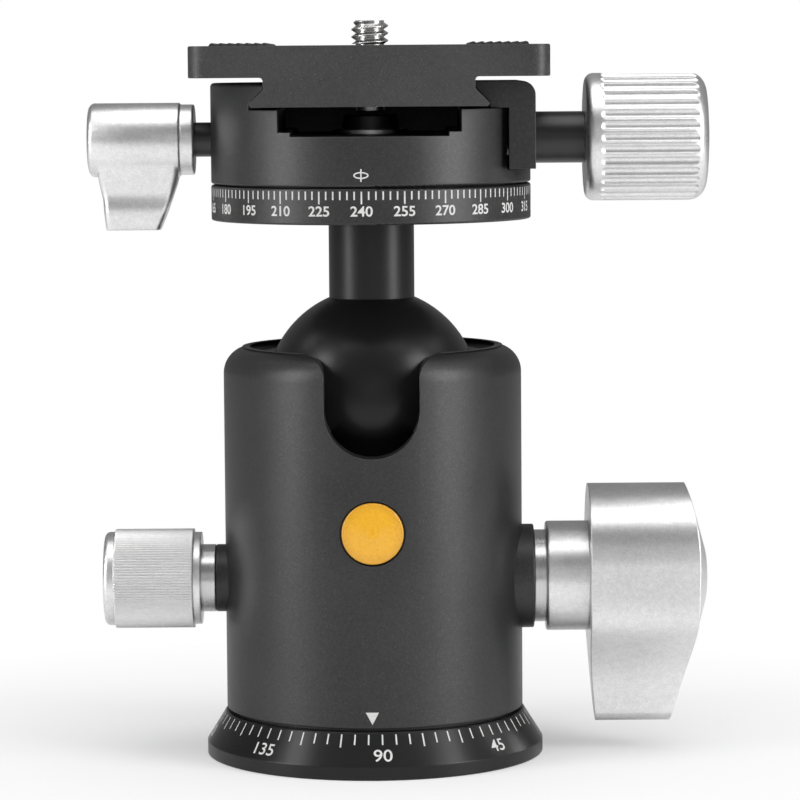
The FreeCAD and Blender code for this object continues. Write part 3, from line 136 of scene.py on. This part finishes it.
def make_edge_group():
    """Where an edge is: 0 on open faces, up to 1 on corners, and the softened normal there."""
    group = new_group("edge finder", [("Radius", "Float", 0.0003)],
                      [("Mask", "Float"), ("Normal", "Vector")])
    g = Graph(group)
    enter = g.add("NodeGroupInput")
    leave = g.add("NodeGroupOutput")
    bevel = g.add("Bevel", {"samples": 6}, Radius=enter.outputs[0])
    facing = g.add("NewGeometry")
    dot = g.add("VectorMath", {"operation": "DOT_PRODUCT"})
    g.put(dot, "0", bevel.outputs[0])
    g.put(dot, "1", facing.outputs["Normal"])
    off = g.math("SUBTRACT", 1.0, dot.outputs["Value"])
    g.put(leave, "Mask", g.ramp(off, 0.01, 0.25))
    g.put(leave, "Normal", bevel.outputs[0])
    return group


def make_grain_group():
    """Bead-blast grain: a fine height, a mask of sparse specks for painted glints and a slow drift of tone.
    """
    group = new_group("blast grain", [("Scale", "Float", 9000.0)],
                      [("Height", "Float"), ("Sparkle", "Float"), ("Drift", "Float")])
    g = Graph(group)
    enter = g.add("NodeGroupInput")
    leave = g.add("NodeGroupOutput")
    place = g.add("TexCoord").outputs["Object"]
    fine = g.noise(place, enter.outputs[0], 3.0, 0.65)
    coarse = g.noise(place, g.math("MULTIPLY", enter.outputs[0], 0.32), 2.0)
    drift = g.noise(place, 60.0, 3.0)
    height = g.math("ADD", g.math("MULTIPLY", fine, 0.65), g.math("MULTIPLY", coarse, 0.35))
    g.put(leave, "Height", height)
    g.put(leave, "Sparkle", g.ramp(fine, 0.6, 0.74))
    g.put(leave, "Drift", drift)
    return group


def make_lathe_group():
    """Turning marks: fine rings about one axis, as a height and a roughness change."""
    group = new_group("turning marks", [("Pitch", "Float", 26000.0), ("Across", "Vector", (1.0, 0.0, 0.0))],
                      [("Height", "Float"), ("Streak", "Float")])
    g = Graph(group)
    enter = g.add("NodeGroupInput")
    leave = g.add("NodeGroupOutput")
    place = g.add("TexCoord").outputs["Object"]
    along = g.add("VectorMath", {"operation": "DOT_PRODUCT"})
    g.put(along, "0", place)
    g.put(along, "1", enter.outputs["Across"])
    line = g.math("MULTIPLY", along.outputs["Value"], enter.outputs["Pitch"])
    rings = g.add("TexNoise", {"noise_dimensions": "1D"}, W=line, Scale=1.0, Detail=3.0)
    g.put(leave, "Height", rings.outputs[0])
    g.put(leave, "Streak", g.ramp(rings.outputs[0], 0.35, 0.7))
    return group


EDGES = make_edge_group()
GRAIN = make_grain_group()
LATHE = make_lathe_group()


def use(g, group, **inputs):
    node = g.tree.nodes.new("ShaderNodeGroup")
    node.node_tree = group
    for key, value in inputs.items():
        g.put(node, key, value)
    return node


def new_material(name):
    material = bpy.data.materials.new(name)
    material.use_nodes = True
    material.node_tree.nodes.clear()
    g = Graph(material.node_tree)
    shader = g.add("BsdfPrincipled")
    out = g.add("OutputMaterial")
    g.put(out, "Surface", shader.outputs[0])
    return material, g, shader


def metal_finish(name, dark, light, rough, grain_size, bump, edge, glint_paint=0.0, metal=1.0,
                 radius=0.00025, coat=0.0):
    """A grained surface between two close tones, with painted glints as bright specks and lighter edges
    that are part wear and part painted highlight. The edge is a colour and, last, how much of it shows."""
    material, g, shader = new_material(name)
    grain = use(g, GRAIN, Scale=grain_size)
    edges = use(g, EDGES, Radius=radius)
    slow = g.ramp(grain.outputs["Drift"], DRIFT_LOW, DRIFT_HIGH)
    quick = g.ramp(grain.outputs["Height"], 0.36, 0.64)
    mottle = g.math("ADD", g.math("MULTIPLY", slow, 0.4), g.math("MULTIPLY", quick, 0.6))
    tone = g.mix(mottle, (*dark, 1.0), (*light, 1.0))
    # Painted glints: sparse bright specks mixed into the colour.
    tone_with_painted_glints = g.mix(g.math("MULTIPLY", grain.outputs["Sparkle"], glint_paint), tone, PAINTED_GLINT_COLOUR)
    # Lighter edges: part wear, part painted highlight.
    wear_and_painted_edge_highlight = g.mix(g.math("MULTIPLY", edges.outputs["Mask"], edge[3]), tone_with_painted_glints, (*edge[:3], 1.0))
    g.put(shader, "Base Color", wear_and_painted_edge_highlight)
    g.put(shader, "Metallic", metal)
    g.put(shader, "Roughness", g.ramp(grain.outputs["Drift"], DRIFT_LOW, DRIFT_HIGH,
                                      rough - ROUGH_SPREAD / 2, rough + ROUGH_SPREAD / 2))
    if coat:
        g.put(shader, "Coat Weight", coat)
        g.put(shader, "Coat Roughness", 0.18)
    relief = g.add("Bump", None, Strength=bump, Distance=0.00004, Height=grain.outputs["Height"],
                   Normal=edges.outputs["Normal"])
    g.put(shader, "Normal", relief.outputs[0])
    return material


def turned_finish(name, colour, rough, across, bump=0.25, metal=1.0):
    """Metal straight from the lathe: fine rings in height and in roughness."""
    material, g, shader = new_material(name)
    marks = use(g, LATHE, Across=across)
    grain = use(g, GRAIN, Scale=5000.0)
    edges = use(g, EDGES, Radius=0.0002)
    dark = tuple(c * TURNED_SHADE for c in colour)
    tone = g.mix(marks.outputs["Streak"], (*dark, 1.0), (*colour, 1.0))
    drifted = g.mix(g.math("MULTIPLY", grain.outputs["Drift"], 0.25), tone, (*dark, 1.0))
    # Lighter edges: part wear, part painted highlight.
    wear_and_painted_edge_highlight = g.mix(g.math("MULTIPLY", edges.outputs["Mask"], 0.5), drifted, TURNED_EDGE_BRIGHT)
    g.put(shader, "Base Color", wear_and_painted_edge_highlight)
    g.put(shader, "Metallic", metal)
    g.put(shader, "Roughness", g.ramp(marks.outputs["Streak"], 0.0, 1.0, rough + 0.06, rough - 0.04))
    relief = g.add("Bump", None, Strength=bump, Distance=0.00003, Height=marks.outputs["Height"],
                   Normal=edges.outputs["Normal"])
    g.put(shader, "Normal", relief.outputs[0])
    return material


def dress(material, *nodes):
    for node in nodes:
        piece = bpy.data.objects[node]
        piece.data.materials.clear()
        piece.data.materials.append(material)


BASE_BLACK = metal_finish(
    "base gloss black", dark=(0.008, 0.008, 0.008), light=(0.012, 0.012, 0.012), rough=0.30,
    grain_size=6000.0, bump=0.12, edge=(0.08, 0.08, 0.08, 0.5), metal=0.5, coat=0.12)
dress(BASE_BLACK, "base_ring")
STAINLESS_ACROSS_Z = turned_finish(
    "stainless steel turned on z", colour=(0.74, 0.735, 0.73), rough=0.24, across=ALONG_Z)
dress(STAINLESS_ACROSS_Z, "thread_bush", "retaining_screws")


def make_paint():
    """Screen print, slightly uneven in tone."""
    material, g, shader = new_material("white screen print")
    grain = use(g, GRAIN, Scale=8000.0)
    uneven = g.ramp(grain.outputs["Height"], 0.35, 0.6)
    g.put(shader, "Base Color", g.mix(uneven, (0.50, 0.50, 0.49, 1.0), (0.68, 0.68, 0.67, 1.0)))
    g.put(shader, "Roughness", g.ramp(grain.outputs["Drift"], DRIFT_LOW, DRIFT_HIGH, 0.5, 0.62))
    relief = g.add("Bump", None, Strength=0.2, Distance=0.00002, Height=grain.outputs["Height"])
    g.put(shader, "Normal", relief.outputs[0])
    return material


PAINT = make_paint()


def on_cone(angle, across, up, low, high):
    """A point printed on a cone or cylinder: across runs round it from angle, up along its slope."""
    slope = (high - low).normalized()
    spot = low + slope * up
    turn = angle + across / max(low.x, high.x)
    reach = spot.x + slope.y * PRINT_LIFT
    return Vector((reach * math.sin(turn), -reach * math.cos(turn), spot.y - slope.x * PRINT_LIFT))


def add_bar(mesh, place, left, right, low, high):
    corners = ((left, low), (right, low), (right, high), (left, high))
    mesh.faces.new([mesh.verts.new(place(u, v)) for u, v in corners])


def glyph_faces(text, height, weight):
    """The faces of a number in its own plane, centred across and standing on zero."""
    curve = bpy.data.curves.new("number", "FONT")
    curve.body = text
    curve.align_x = "CENTER"
    curve.size = 1.0
    curve.offset = weight
    item = bpy.data.objects.new("number", curve)
    bpy.context.scene.collection.objects.link(item)
    bpy.context.view_layer.update()
    flat = bpy.data.meshes.new_from_object(item.evaluated_get(bpy.context.evaluated_depsgraph_get()))
    low = min(v.co.y for v in flat.vertices)
    size = height / (max(v.co.y for v in flat.vertices) - low)
    spots = [(v.co.x * size, (v.co.y - low) * size) for v in flat.vertices]
    faces = [tuple(p.vertices) for p in flat.polygons]
    bpy.data.objects.remove(item)
    bpy.data.meshes.remove(flat)
    return spots, faces


def add_number(mesh, place, text, height, base, weight, width):
    spots, faces = glyph_faces(text, height, weight)
    verts = [mesh.verts.new(place(u * width, base + v)) for u, v in spots]
    for face in faces:
        mesh.faces.new([verts[k] for k in face])


def finish_mesh(name, mesh, body, material, smooth=False):
    data = bpy.data.meshes.new(name)
    bmesh.ops.recalc_face_normals(mesh, faces=mesh.faces)
    mesh.to_mesh(data)
    mesh.free()
    if smooth:
        data.shade_smooth()
    data.materials.append(material)
    piece = bpy.data.objects.new(name, data)
    bpy.context.scene.collection.objects.link(piece)
    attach(piece, body)
    return piece


def print_base_scale():
    mesh = bmesh.new()
    slant = (BASE_CREST - BASE_FOOT).length
    for value in range(0, 360, BASE_SCALE_STEP):
        angle = math.radians(BASE_SCALE_SHIFT - (value - BASE_SCALE_FRONT))
        numbered = value % BASE_SCALE_NUMBER_STEP == 0
        stands_out = value % BASE_SCALE_LONG_STEP == 0 and not numbered
        length = BASE_TICK_LONG if stands_out else BASE_TICK_SHORT

        def place(across, up):
            return on_cone(angle, across, up, BASE_FOOT, BASE_CREST)

        top = slant - BASE_TICK_GAP
        add_bar(mesh, place, -BASE_TICK_HALF, BASE_TICK_HALF, top - length, top)
        if numbered:
            add_number(mesh, place, str(value), BASE_NUMBER_HEIGHT, BASE_NUMBER_FOOT,
                       BASE_NUMBER_WEIGHT, BASE_NUMBER_WIDTH)
    finish_mesh("base_scale", mesh, "base", PAINT)


print_base_scale()

# Housing: one turned and blasted aluminium sleeve. Inside sit the acetal ring and cup that
# hold the ball, and the pins that the two lock screws drive. On the front is a small domed
# badge with a bare golden face.
HOUSING_RADIUS = 25.74 * MM
HOUSING_WALL = Vector((HOUSING_RADIUS, 8.1 * MM)), Vector((HOUSING_RADIUS, 70.0 * MM))
BADGE_CENTRE = (0.0, -26.0 * MM, 41.1 * MM)
BADGE_RIM_START = 3.6 * MM
BADGE_RIM_END = 5.2 * MM
POINTER_TURN = -0.6
POINTER_TIP = 0.75 * MM
POINTER_RISE = 2.1 * MM
POINTER_HALF = 1.1 * MM
POINTER_STRIPS = 12
ALONG_X = (1.0, 0.0, 0.0)
# Lighter edge colour of the black finishes: part wear, part painted highlight.
BLACK_EDGE = (0.11, 0.11, 0.115, 0.55)
BLACK_ANODISED = metal_finish(
    "black anodised", dark=(0.038, 0.038, 0.039), light=(0.062, 0.062, 0.063), rough=0.42,
    grain_size=5200.0, bump=0.45, edge=BLACK_EDGE, glint_paint=0.05, metal=0.75)
dress(BLACK_ANODISED, "housing", "pan_lock_bushing", "main_knob_bushing", "core_block", "cup_carrier",
      "retaining_plate")
ACETAL = metal_finish(
    "black acetal", dark=(0.030, 0.030, 0.031), light=(0.042, 0.042, 0.043), rough=0.48,
    grain_size=2500.0, bump=0.15, edge=(0.09, 0.09, 0.09, 0.3), metal=0.0)
dress(ACETAL, "socket_ring", "pressure_cup", "base_friction_washer", "clamp_friction_washer")
STAINLESS_ACROSS_X = turned_finish(
    "stainless steel turned on x", colour=(0.72, 0.72, 0.72), rough=0.24, across=ALONG_X)
dress(STAINLESS_ACROSS_X, "main_wedge", "pan_lock_wedge")
BRASS = turned_finish("machined brass", colour=(0.75, 0.55, 0.26), rough=0.28, across=ALONG_Z)
dress(BRASS, "pan_brake_pin", "clamp_brake_shoe")


def make_badge_gold():
    """Enamel under a clear dome: warm orange with a slightly deeper rim."""
    material, g, shader = new_material("golden enamel")
    place = g.add("TexCoord").outputs["Object"]
    shifted = g.add("VectorMath", {"operation": "SUBTRACT"})
    g.put(shifted, "0", place)
    g.put(shifted, "1", BADGE_CENTRE)
    away = g.add("VectorMath", {"operation": "LENGTH"})
    g.put(away, "0", shifted.outputs[0])
    rim = g.ramp(away.outputs["Value"], BADGE_RIM_START, BADGE_RIM_END)
    flakes = g.noise(place, 3500.0, 2.0)
    base = g.mix(g.ramp(flakes, 0.35, 0.65), (0.72, 0.350, 0.006, 1.0), (0.81, 0.42, 0.010, 1.0))
    g.put(shader, "Base Color", g.mix(g.math("MULTIPLY", rim, 0.6), base, (0.55, 0.25, 0.01, 1.0)))
    g.put(shader, "Roughness", g.ramp(flakes, 0.3, 0.7, 0.26, 0.34))
    g.put(shader, "Coat Weight", 0.6)
    g.put(shader, "Coat Roughness", 0.05)
    relief = g.add("Bump", None, Strength=0.05, Distance=0.00002, Height=flakes)
    g.put(shader, "Normal", relief.outputs[0])
    return material


dress(make_badge_gold(), "badge")


def print_housing_pointer():
    """A plain arrow head above the base scale."""
    mesh = bmesh.new()

    def place(across, up):
        return on_cone(math.radians(POINTER_TURN), across, up, *HOUSING_WALL)

    top = POINTER_TIP + POINTER_RISE
    for k in range(POINTER_STRIPS):
        left, right = (POINTER_HALF * (2 * step / POINTER_STRIPS - 1) for step in (k, k + 1))
        low = [POINTER_TIP + POINTER_RISE * abs(x) / POINTER_HALF for x in (left, right)]
        corners = ((left, low[0]), (right, low[1]), (right, top), (left, top))
        used = [spot for n, spot in enumerate(corners) if spot != corners[n - 1]]
        if len(used) > 2:
            mesh.faces.new([mesh.verts.new(place(*spot)) for spot in used])
    finish_mesh("housing_pointer", mesh, "housing", PAINT)


print_housing_pointer()

# Main knob and pan lock knob: turned steel spindles run in black bushings in the housing.
# The hub, the grips and their caps are aluminium, bead-blasted and anodised silver, and the
# clamp's knob and lever have the same finish.
# Lighter edge colour of the silver finish: part wear, part painted highlight.
SILVER_EDGE = (0.92, 0.92, 0.92, 0.8)
SILVER = metal_finish(
    "silver blasted", dark=(0.68, 0.68, 0.68), light=(0.93, 0.93, 0.93), rough=0.34,
    grain_size=3400.0, bump=0.75, edge=SILVER_EDGE, glint_paint=0.35, radius=0.0004)
dress(SILVER, "main_knob_hub", "main_knob_grip", "main_knob_cap", "pan_lock_grip", "pan_lock_cap",
      "clamp_knob", "pan_lever", "lever_collar")
dress(STAINLESS_ACROSS_X, "main_spindle", "pan_lock_spindle")

# Ball and neck: a hard black ball, smoother and darker than the housing, and a turned neck.
# A steel stud with its nut and a lock pin, all inside, hold the two together.
BALL_BLACK = metal_finish(
    "hard black ball", dark=(0.006, 0.006, 0.006), light=(0.010, 0.010, 0.010), rough=0.34,
    grain_size=9000.0, bump=0.10, edge=(0.04, 0.04, 0.04, 0.4), metal=0.3, coat=0.05)
dress(BALL_BLACK, "ball")
NECK_BLACK = metal_finish(
    "black anodised neck", dark=(0.020, 0.020, 0.021), light=(0.028, 0.028, 0.029), rough=0.34,
    grain_size=7000.0, bump=0.20, edge=BLACK_EDGE, metal=0.7)
dress(NECK_BLACK, "neck")
dress(STAINLESS_ACROSS_X, "stem_lock_pin", "stem_stud", "stem_nut")

# Graduated disc: turned aluminium, anodised like the housing, that rides with the neck.
# The scale printed round its rim counts up to the right.
DISC_RADIUS = 27.5 * MM
DISC_WALL = Vector((DISC_RADIUS, 92.7 * MM)), Vector((DISC_RADIUS, 98.4 * MM))
DISC_SCALE_STEP = 2.5
DISC_SCALE_NUMBER_STEP = 15
DISC_SCALE_FRONT = 240
DISC_SCALE_SHIFT = -2.9
DISC_TICK_HALF = 0.13 * MM
DISC_TICK_SHORT = 1.4 * MM
DISC_TICK_LONG = 2.1 * MM
DISC_TICK_TOP = 5.6 * MM
DISC_NUMBER_HEIGHT = 1.72 * MM
DISC_NUMBER_FOOT = 1.45 * MM
DISC_NUMBER_WEIGHT = 0.018
DISC_NUMBER_WIDTH = 1.08
dress(BLACK_ANODISED, "pan_disc")


def print_disc_scale():
    mesh = bmesh.new()
    for k in range(int(360 / DISC_SCALE_STEP)):
        value = k * DISC_SCALE_STEP
        angle = math.radians(value - DISC_SCALE_FRONT + DISC_SCALE_SHIFT)
        numbered = value % DISC_SCALE_NUMBER_STEP == 0
        length = DISC_TICK_LONG if numbered else DISC_TICK_SHORT

        def place(across, up):
            return on_cone(angle, across, up, *DISC_WALL)

        add_bar(mesh, place, -DISC_TICK_HALF, DISC_TICK_HALF, DISC_TICK_TOP - length, DISC_TICK_TOP)
        if numbered:
            add_number(mesh, place, str(int(value)), DISC_NUMBER_HEIGHT, DISC_NUMBER_FOOT,
                       DISC_NUMBER_WEIGHT, DISC_NUMBER_WIDTH)
    finish_mesh("disc_scale", mesh, "ball", PAINT)


print_disc_scale()

# Clamp: body and jaw in black anodised aluminium, with dark screws and a steel washer.
# The jaw slides on two steel pins against its springs. The mark printed on the body reads
# the disc's scale.
CLAMP_WALL = Vector((DISC_RADIUS, 99.0 * MM)), Vector((DISC_RADIUS, 111.0 * MM))
INDEX_TURN = -3.0
INDEX_MIDDLE = 1.95 * MM
INDEX_LINE_HALF = 0.12 * MM
INDEX_LINE_REACH = 1.05 * MM
INDEX_RING_OUTER = 1.28 * MM, 0.58 * MM
INDEX_RING_INNER = 1.02 * MM, 0.36 * MM
INDEX_RING_CORNERS = 32
BLACK_STEEL = turned_finish(
    "black oxide steel", colour=(0.065, 0.065, 0.066), rough=0.34, across=ALONG_X, bump=0.2, metal=0.8)
dress(BLACK_ANODISED, "clamp_body", "clamp_jaw")
dress(BLACK_STEEL, "lever_screw", "clamp_spindle", "centre_screw")
dress(STAINLESS_ACROSS_Z, "centre_screw_washer")
dress(STAINLESS_ACROSS_X, "jaw_guide_pins", "jaw_springs")


def circle(reach, count):
    """The points of a circle, as pairs."""
    turns = [2 * math.pi * k / count for k in range(count)]
    return [(reach * math.cos(turn), reach * math.sin(turn)) for turn in turns]


def join_rings(mesh, rings):
    """Side faces between closed rings of equal count."""
    for first, second in zip(rings, rings[1:]):
        for k in range(len(first)):
            after = (k + 1) % len(first)
            mesh.faces.new([first[k], first[after], second[after], second[k]])


def print_clamp_index():
    """A reading line through a flat ring."""
    mesh = bmesh.new()

    def place(across, up):
        return on_cone(math.radians(INDEX_TURN), across, up, *CLAMP_WALL)

    add_bar(mesh, place, -INDEX_LINE_HALF, INDEX_LINE_HALF,
            INDEX_MIDDLE - INDEX_LINE_REACH, INDEX_MIDDLE + INDEX_LINE_REACH)
    join_rings(mesh, [[mesh.verts.new(place(wide * x, INDEX_MIDDLE + tall * y))
                       for x, y in circle(1.0, INDEX_RING_CORNERS)]
                      for wide, tall in (INDEX_RING_OUTER, INDEX_RING_INNER)])
    finish_mesh("clamp_index", mesh, "clamp", PAINT)


print_clamp_index()

# Pan lever: one silver casting, a round hub with a thumb blade that sweeps inwards as it goes
# down and swells again just above its tip. It turns the dark screw that presses the brake shoe.
LEVER_HEIGHT = 106.5 * MM
HUB_CORNERS = 64
HUB_END_EDGE = 0.3 * MM
# Millimetres in from the hub's left end, and in from its full radius there.
HUB_START_EDGE = ((0.0, 1.2), (0.12, 0.7), (0.45, 0.25), (0.9, 0.0))
# The blade from the hub down, in millimetres: height, left and right ends, half thickness.
BLADE_LEVELS = ((104.0, -47.1, -33.0, 5.0), (102.0, -46.95, -32.9, 4.6), (100.3, -46.8, -33.05, 3.9),
                (98.8, -46.6, -33.4, 3.2), (97.6, -46.35, -33.8, 2.8), (96.4, -46.1, -34.2, 2.65),
                (95.4, -46.0, -34.6, 2.75), (94.5, -45.95, -34.9, 2.8), (93.3, -45.85, -35.35, 2.55),
                (92.2, -45.75, -35.8, 2.2), (91.4, -45.68, -36.1, 1.95), (91.03, -45.6, -36.3, 1.7))
BLADE_CORNER = 1.2
BLADE_CORNER_SHARE = 0.6
BLADE_CORNER_STEPS = 8
LEVER_SHARP_ANGLE = 38


def skin(mesh, outlines):
    """Side faces between closed outlines of equal count, and a cap at each end."""
    rings = [[mesh.verts.new(spot) for spot in outline] for outline in outlines]
    join_rings(mesh, rings)
    mesh.faces.new(list(reversed(rings[0])))
    mesh.faces.new(rings[-1])


def rounded_box(left, right, half, corner):
    """A rectangle in x and y with rounded corners, as points in order."""
    spots = []
    for x, y, start in ((right - corner, half - corner, 0), (left + corner, half - corner, 90),
                        (left + corner, corner - half, 180), (right - corner, corner - half, 270)):
        for k in range(BLADE_CORNER_STEPS + 1):
            turn = math.radians(start + 90 * k / BLADE_CORNER_STEPS)
            spots.append((x + corner * math.cos(turn), y + corner * math.sin(turn)))
    return spots


def cast_pan_lever():
    mesh = bmesh.new()
    low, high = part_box("pan_lever")
    radius = high[1]
    stations = [(low[0] + along * MM, radius - inward * MM) for along, inward in HUB_START_EDGE]
    stations += [(high[0] - HUB_END_EDGE, radius), (high[0], radius - HUB_END_EDGE)]
    skin(mesh, [[(x, y, LEVER_HEIGHT + z) for y, z in circle(reach, HUB_CORNERS)]
                for x, reach in stations])
    outlines = []
    for z, left, right, half in BLADE_LEVELS:
        corner = min(BLADE_CORNER, half * BLADE_CORNER_SHARE)
        outline = rounded_box(left * MM, right * MM, half * MM, corner * MM)
        outlines.append([(x, y, z * MM) for x, y in outline])
    skin(mesh, outlines)
    piece = finish_mesh("pan_lever_cast", mesh, "pan_lever", SILVER, smooth=True)
    piece.data.set_sharp_from_angle(angle=math.radians(LEVER_SHARP_ANGLE))
    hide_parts("pan_lever")


cast_pan_lever()

# Quick-release plate: blasted black like the clamp but a little coarser, with rubber strips
# on top. The steel camera screw has a flat head let into the plate's underside, and a real
# thread that stands out above the plate.
SCREW_PITCH = 1.27 * MM
SCREW_ROOT = 2.45 * MM
SCREW_CREST = 3.175 * MM
SCREW_CHAMFER = 0.7 * MM
SCREW_TIP = 2.5 * MM
SCREW_FOOT = 122.7 * MM
SCREW_CORNERS = 48
# The thread's profile: shares of the pitch, and of the way from the root to the crest.
SCREW_PROFILE = ((0.0, 0.0), (0.38, 1.0), (0.5, 1.0), (0.88, 0.0))
# The head's outline, in millimetres: radius, and height above the screw's lower end.
SCREW_HEAD = ((2.3, 0.0), (2.45, 0.15), (2.45, 1.05), (5.8, 1.05), (6.0, 1.25), (6.0, 2.2), (2.45, 2.2))
PLATE_BLACK = metal_finish(
    "plate blasted black", dark=(0.044, 0.044, 0.045), light=(0.078, 0.078, 0.079), rough=0.48,
    grain_size=3600.0, bump=0.7, edge=(0.12, 0.12, 0.12, 0.5), glint_paint=0.12, metal=0.6)
dress(PLATE_BLACK, "release_plate")
RUBBER = metal_finish(
    "black rubber", dark=(0.026, 0.026, 0.027), light=(0.036, 0.036, 0.037), rough=0.62,
    grain_size=3000.0, bump=0.35, edge=(0.06, 0.06, 0.06, 0.3), metal=0.0)
dress(RUBBER, "rubber_pad_left", "rubber_pad_right")
dress(STAINLESS_ACROSS_Z, "camera_screw")


def wind_thread(mesh, top):
    """The profile wound up the shank, cut level at its foot and chamfered at its top."""
    steps = int((top - SCREW_FOOT) / SCREW_PITCH * SCREW_CORNERS)
    rows = []
    for k in range(-SCREW_CORNERS, steps + 1):
        angle = 2 * math.pi * k / SCREW_CORNERS
        row = []
        for share, lift in SCREW_PROFILE:
            z = SCREW_FOOT + SCREW_PITCH * (k / SCREW_CORNERS + share)
            reach = SCREW_ROOT + (SCREW_CREST - SCREW_ROOT) * lift
            reach = min(reach, SCREW_CREST - SCREW_CHAMFER + max(0.0, top - z))
            z = min(max(z, SCREW_FOOT), top)
            row.append(mesh.verts.new((reach * math.cos(angle), reach * math.sin(angle), z)))
        rows.append(row)
    for first, second in zip(rows, rows[1:]):
        for k in range(len(SCREW_PROFILE) - 1):
            mesh.faces.new([first[k], second[k], second[k + 1], first[k + 1]])
    one_turn_up = rows[SCREW_CORNERS:]
    for first, second, above, above_next in zip(rows, rows[1:], one_turn_up, one_turn_up[1:]):
        mesh.faces.new([first[-1], second[-1], above_next[0], above[0]])


def cut_camera_screw():
    """The camera screw with its real thread, over its flat head."""
    low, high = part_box("camera_screw")
    top = high[2]
    mesh = bmesh.new()
    wind_thread(mesh, top)
    middle = mesh.verts.new((0, 0, top))
    rim = [mesh.verts.new((x, y, top)) for x, y in circle(SCREW_TIP, SCREW_CORNERS)]
    for k in range(SCREW_CORNERS):
        mesh.faces.new([rim[k], rim[(k + 1) % SCREW_CORNERS], middle])
    outline = [(reach * MM, low[2] + up * MM) for reach, up in SCREW_HEAD]
    outline.append((SCREW_ROOT, SCREW_FOOT))
    rings = [[mesh.verts.new((x, y, z)) for x, y in circle(reach, SCREW_CORNERS)]
             for reach, z in outline]
    mesh.faces.new(rings[0])
    join_rings(mesh, rings)
    piece = finish_mesh("camera_screw_threaded", mesh, "camera_screw", STAINLESS_ACROSS_Z)
    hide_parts("camera_screw")


cut_camera_screw()

# The studio: a white floor that fades into a white room, large soft lamps at both sides and
# above with a weak one in front, and the photograph's camera.
FLOOR_SIZE = 4.0
FLOOR_DROP = 0.05 * MM
FADE_START = 0.03
FADE_END = 0.13
FADE_AT_START = 0.35
MIDDLE = (0.0, 0.0, 0.065)
ROOM_LIGHT = 0.22
WHITE = (1.0, 1.0, 1.0, 1.0)
CAMERA_PLACE = (4.737 * MM, -641.5 * MM, 119.45 * MM)
CAMERA_PITCH = 84.813
CAMERA_ROLL = -0.42
CAMERA_LENS = 167.24
CAMERA_SENSOR = 36.0


def lay_floor():
    """A matt white floor. To the camera it glows more and more with the distance."""
    mesh = bmesh.new()
    half = FLOOR_SIZE / 2
    mesh.faces.new([mesh.verts.new((*spot, -FLOOR_DROP)) for spot in
                    ((-half, -half), (half, -half), (half, half), (-half, half))])
    data = bpy.data.meshes.new("floor")
    mesh.to_mesh(data)
    mesh.free()
    floor = bpy.data.objects.new("floor", data)
    bpy.context.scene.collection.objects.link(floor)
    material, g, shader = new_material("white sweep")
    g.put(shader, "Base Color", (0.93, 0.93, 0.93, 1.0))
    g.put(shader, "Roughness", 0.6)
    g.put(shader, "Specular IOR Level", 0.1)
    away = g.add("VectorMath", {"operation": "LENGTH"})
    g.put(away, "0", g.add("TexCoord").outputs["Object"])
    seen = g.add("LightPath").outputs["Is Camera Ray"]
    far = g.ramp(away.outputs["Value"], FADE_START, FADE_END, FADE_AT_START, 1.0)
    white = g.add("Emission", None, Color=WHITE, Strength=1.0)
    blend = g.add("MixShader")
    g.put(blend, "0", g.math("MULTIPLY", seen, far))
    g.put(blend, "1", shader.outputs[0])
    g.put(blend, "2", white.outputs[0])
    out = next(node for node in material.node_tree.nodes if node.type == "OUTPUT_MATERIAL")
    g.put(out, "Surface", blend.outputs[0])
    data.materials.append(material)


lay_floor()


def add_lamp(name, place, width, height, power):
    """A soft box that faces the middle of the object."""
    lamp = bpy.data.lights.new(name, "AREA")
    lamp.shape = "RECTANGLE"
    lamp.size = width
    lamp.size_y = height
    lamp.energy = power
    item = bpy.data.objects.new(name, lamp)
    item.location = place
    item.rotation_euler = (Vector(MIDDLE) - Vector(place)).to_track_quat("-Z", "Y").to_euler()
    bpy.context.scene.collection.objects.link(item)


add_lamp("left_soft_box", place=(-0.62, -0.30, 0.22), width=0.22, height=0.75, power=3.6)
add_lamp("right_soft_box", place=(0.60, -0.34, 0.22), width=0.26, height=0.75, power=4.5)
add_lamp("top_soft_box", place=(0.0, -0.10, 0.75), width=0.8, height=0.6, power=3.0)
add_lamp("front_fill", place=(0.05, -1.05, 0.30), width=0.5, height=0.4, power=0.25)


def light_world():
    """A white room: plain white to the camera, and much dimmer as a light."""
    world = bpy.data.worlds.new("white room")
    world.use_nodes = True
    world.node_tree.nodes.clear()
    g = Graph(world.node_tree)
    path = g.add("LightPath")
    strength = g.ramp(path.outputs["Is Camera Ray"], 0.0, 1.0, ROOM_LIGHT, 1.0)
    glow = g.add("Background", None, Color=WHITE, Strength=strength)
    out = g.add("OutputWorld")
    g.put(out, "Surface", glow.outputs[0])
    bpy.context.scene.world = world


light_world()


def set_camera():
    camera = bpy.data.cameras.new("camera")
    camera.sensor_width = CAMERA_SENSOR
    camera.lens = CAMERA_LENS
    camera.clip_start = 0.01
    item = bpy.data.objects.new("camera", camera)
    aim = Euler((math.radians(CAMERA_PITCH), 0, 0)).to_matrix().to_4x4()
    item.matrix_world = (Matrix.Translation(CAMERA_PLACE) @ aim
                         @ Matrix.Rotation(math.radians(CAMERA_ROLL), 4, "Z"))
    bpy.context.scene.collection.objects.link(item)
    bpy.context.scene.camera = item


set_camera()
bpy.context.scene.view_settings.view_transform = "Standard"
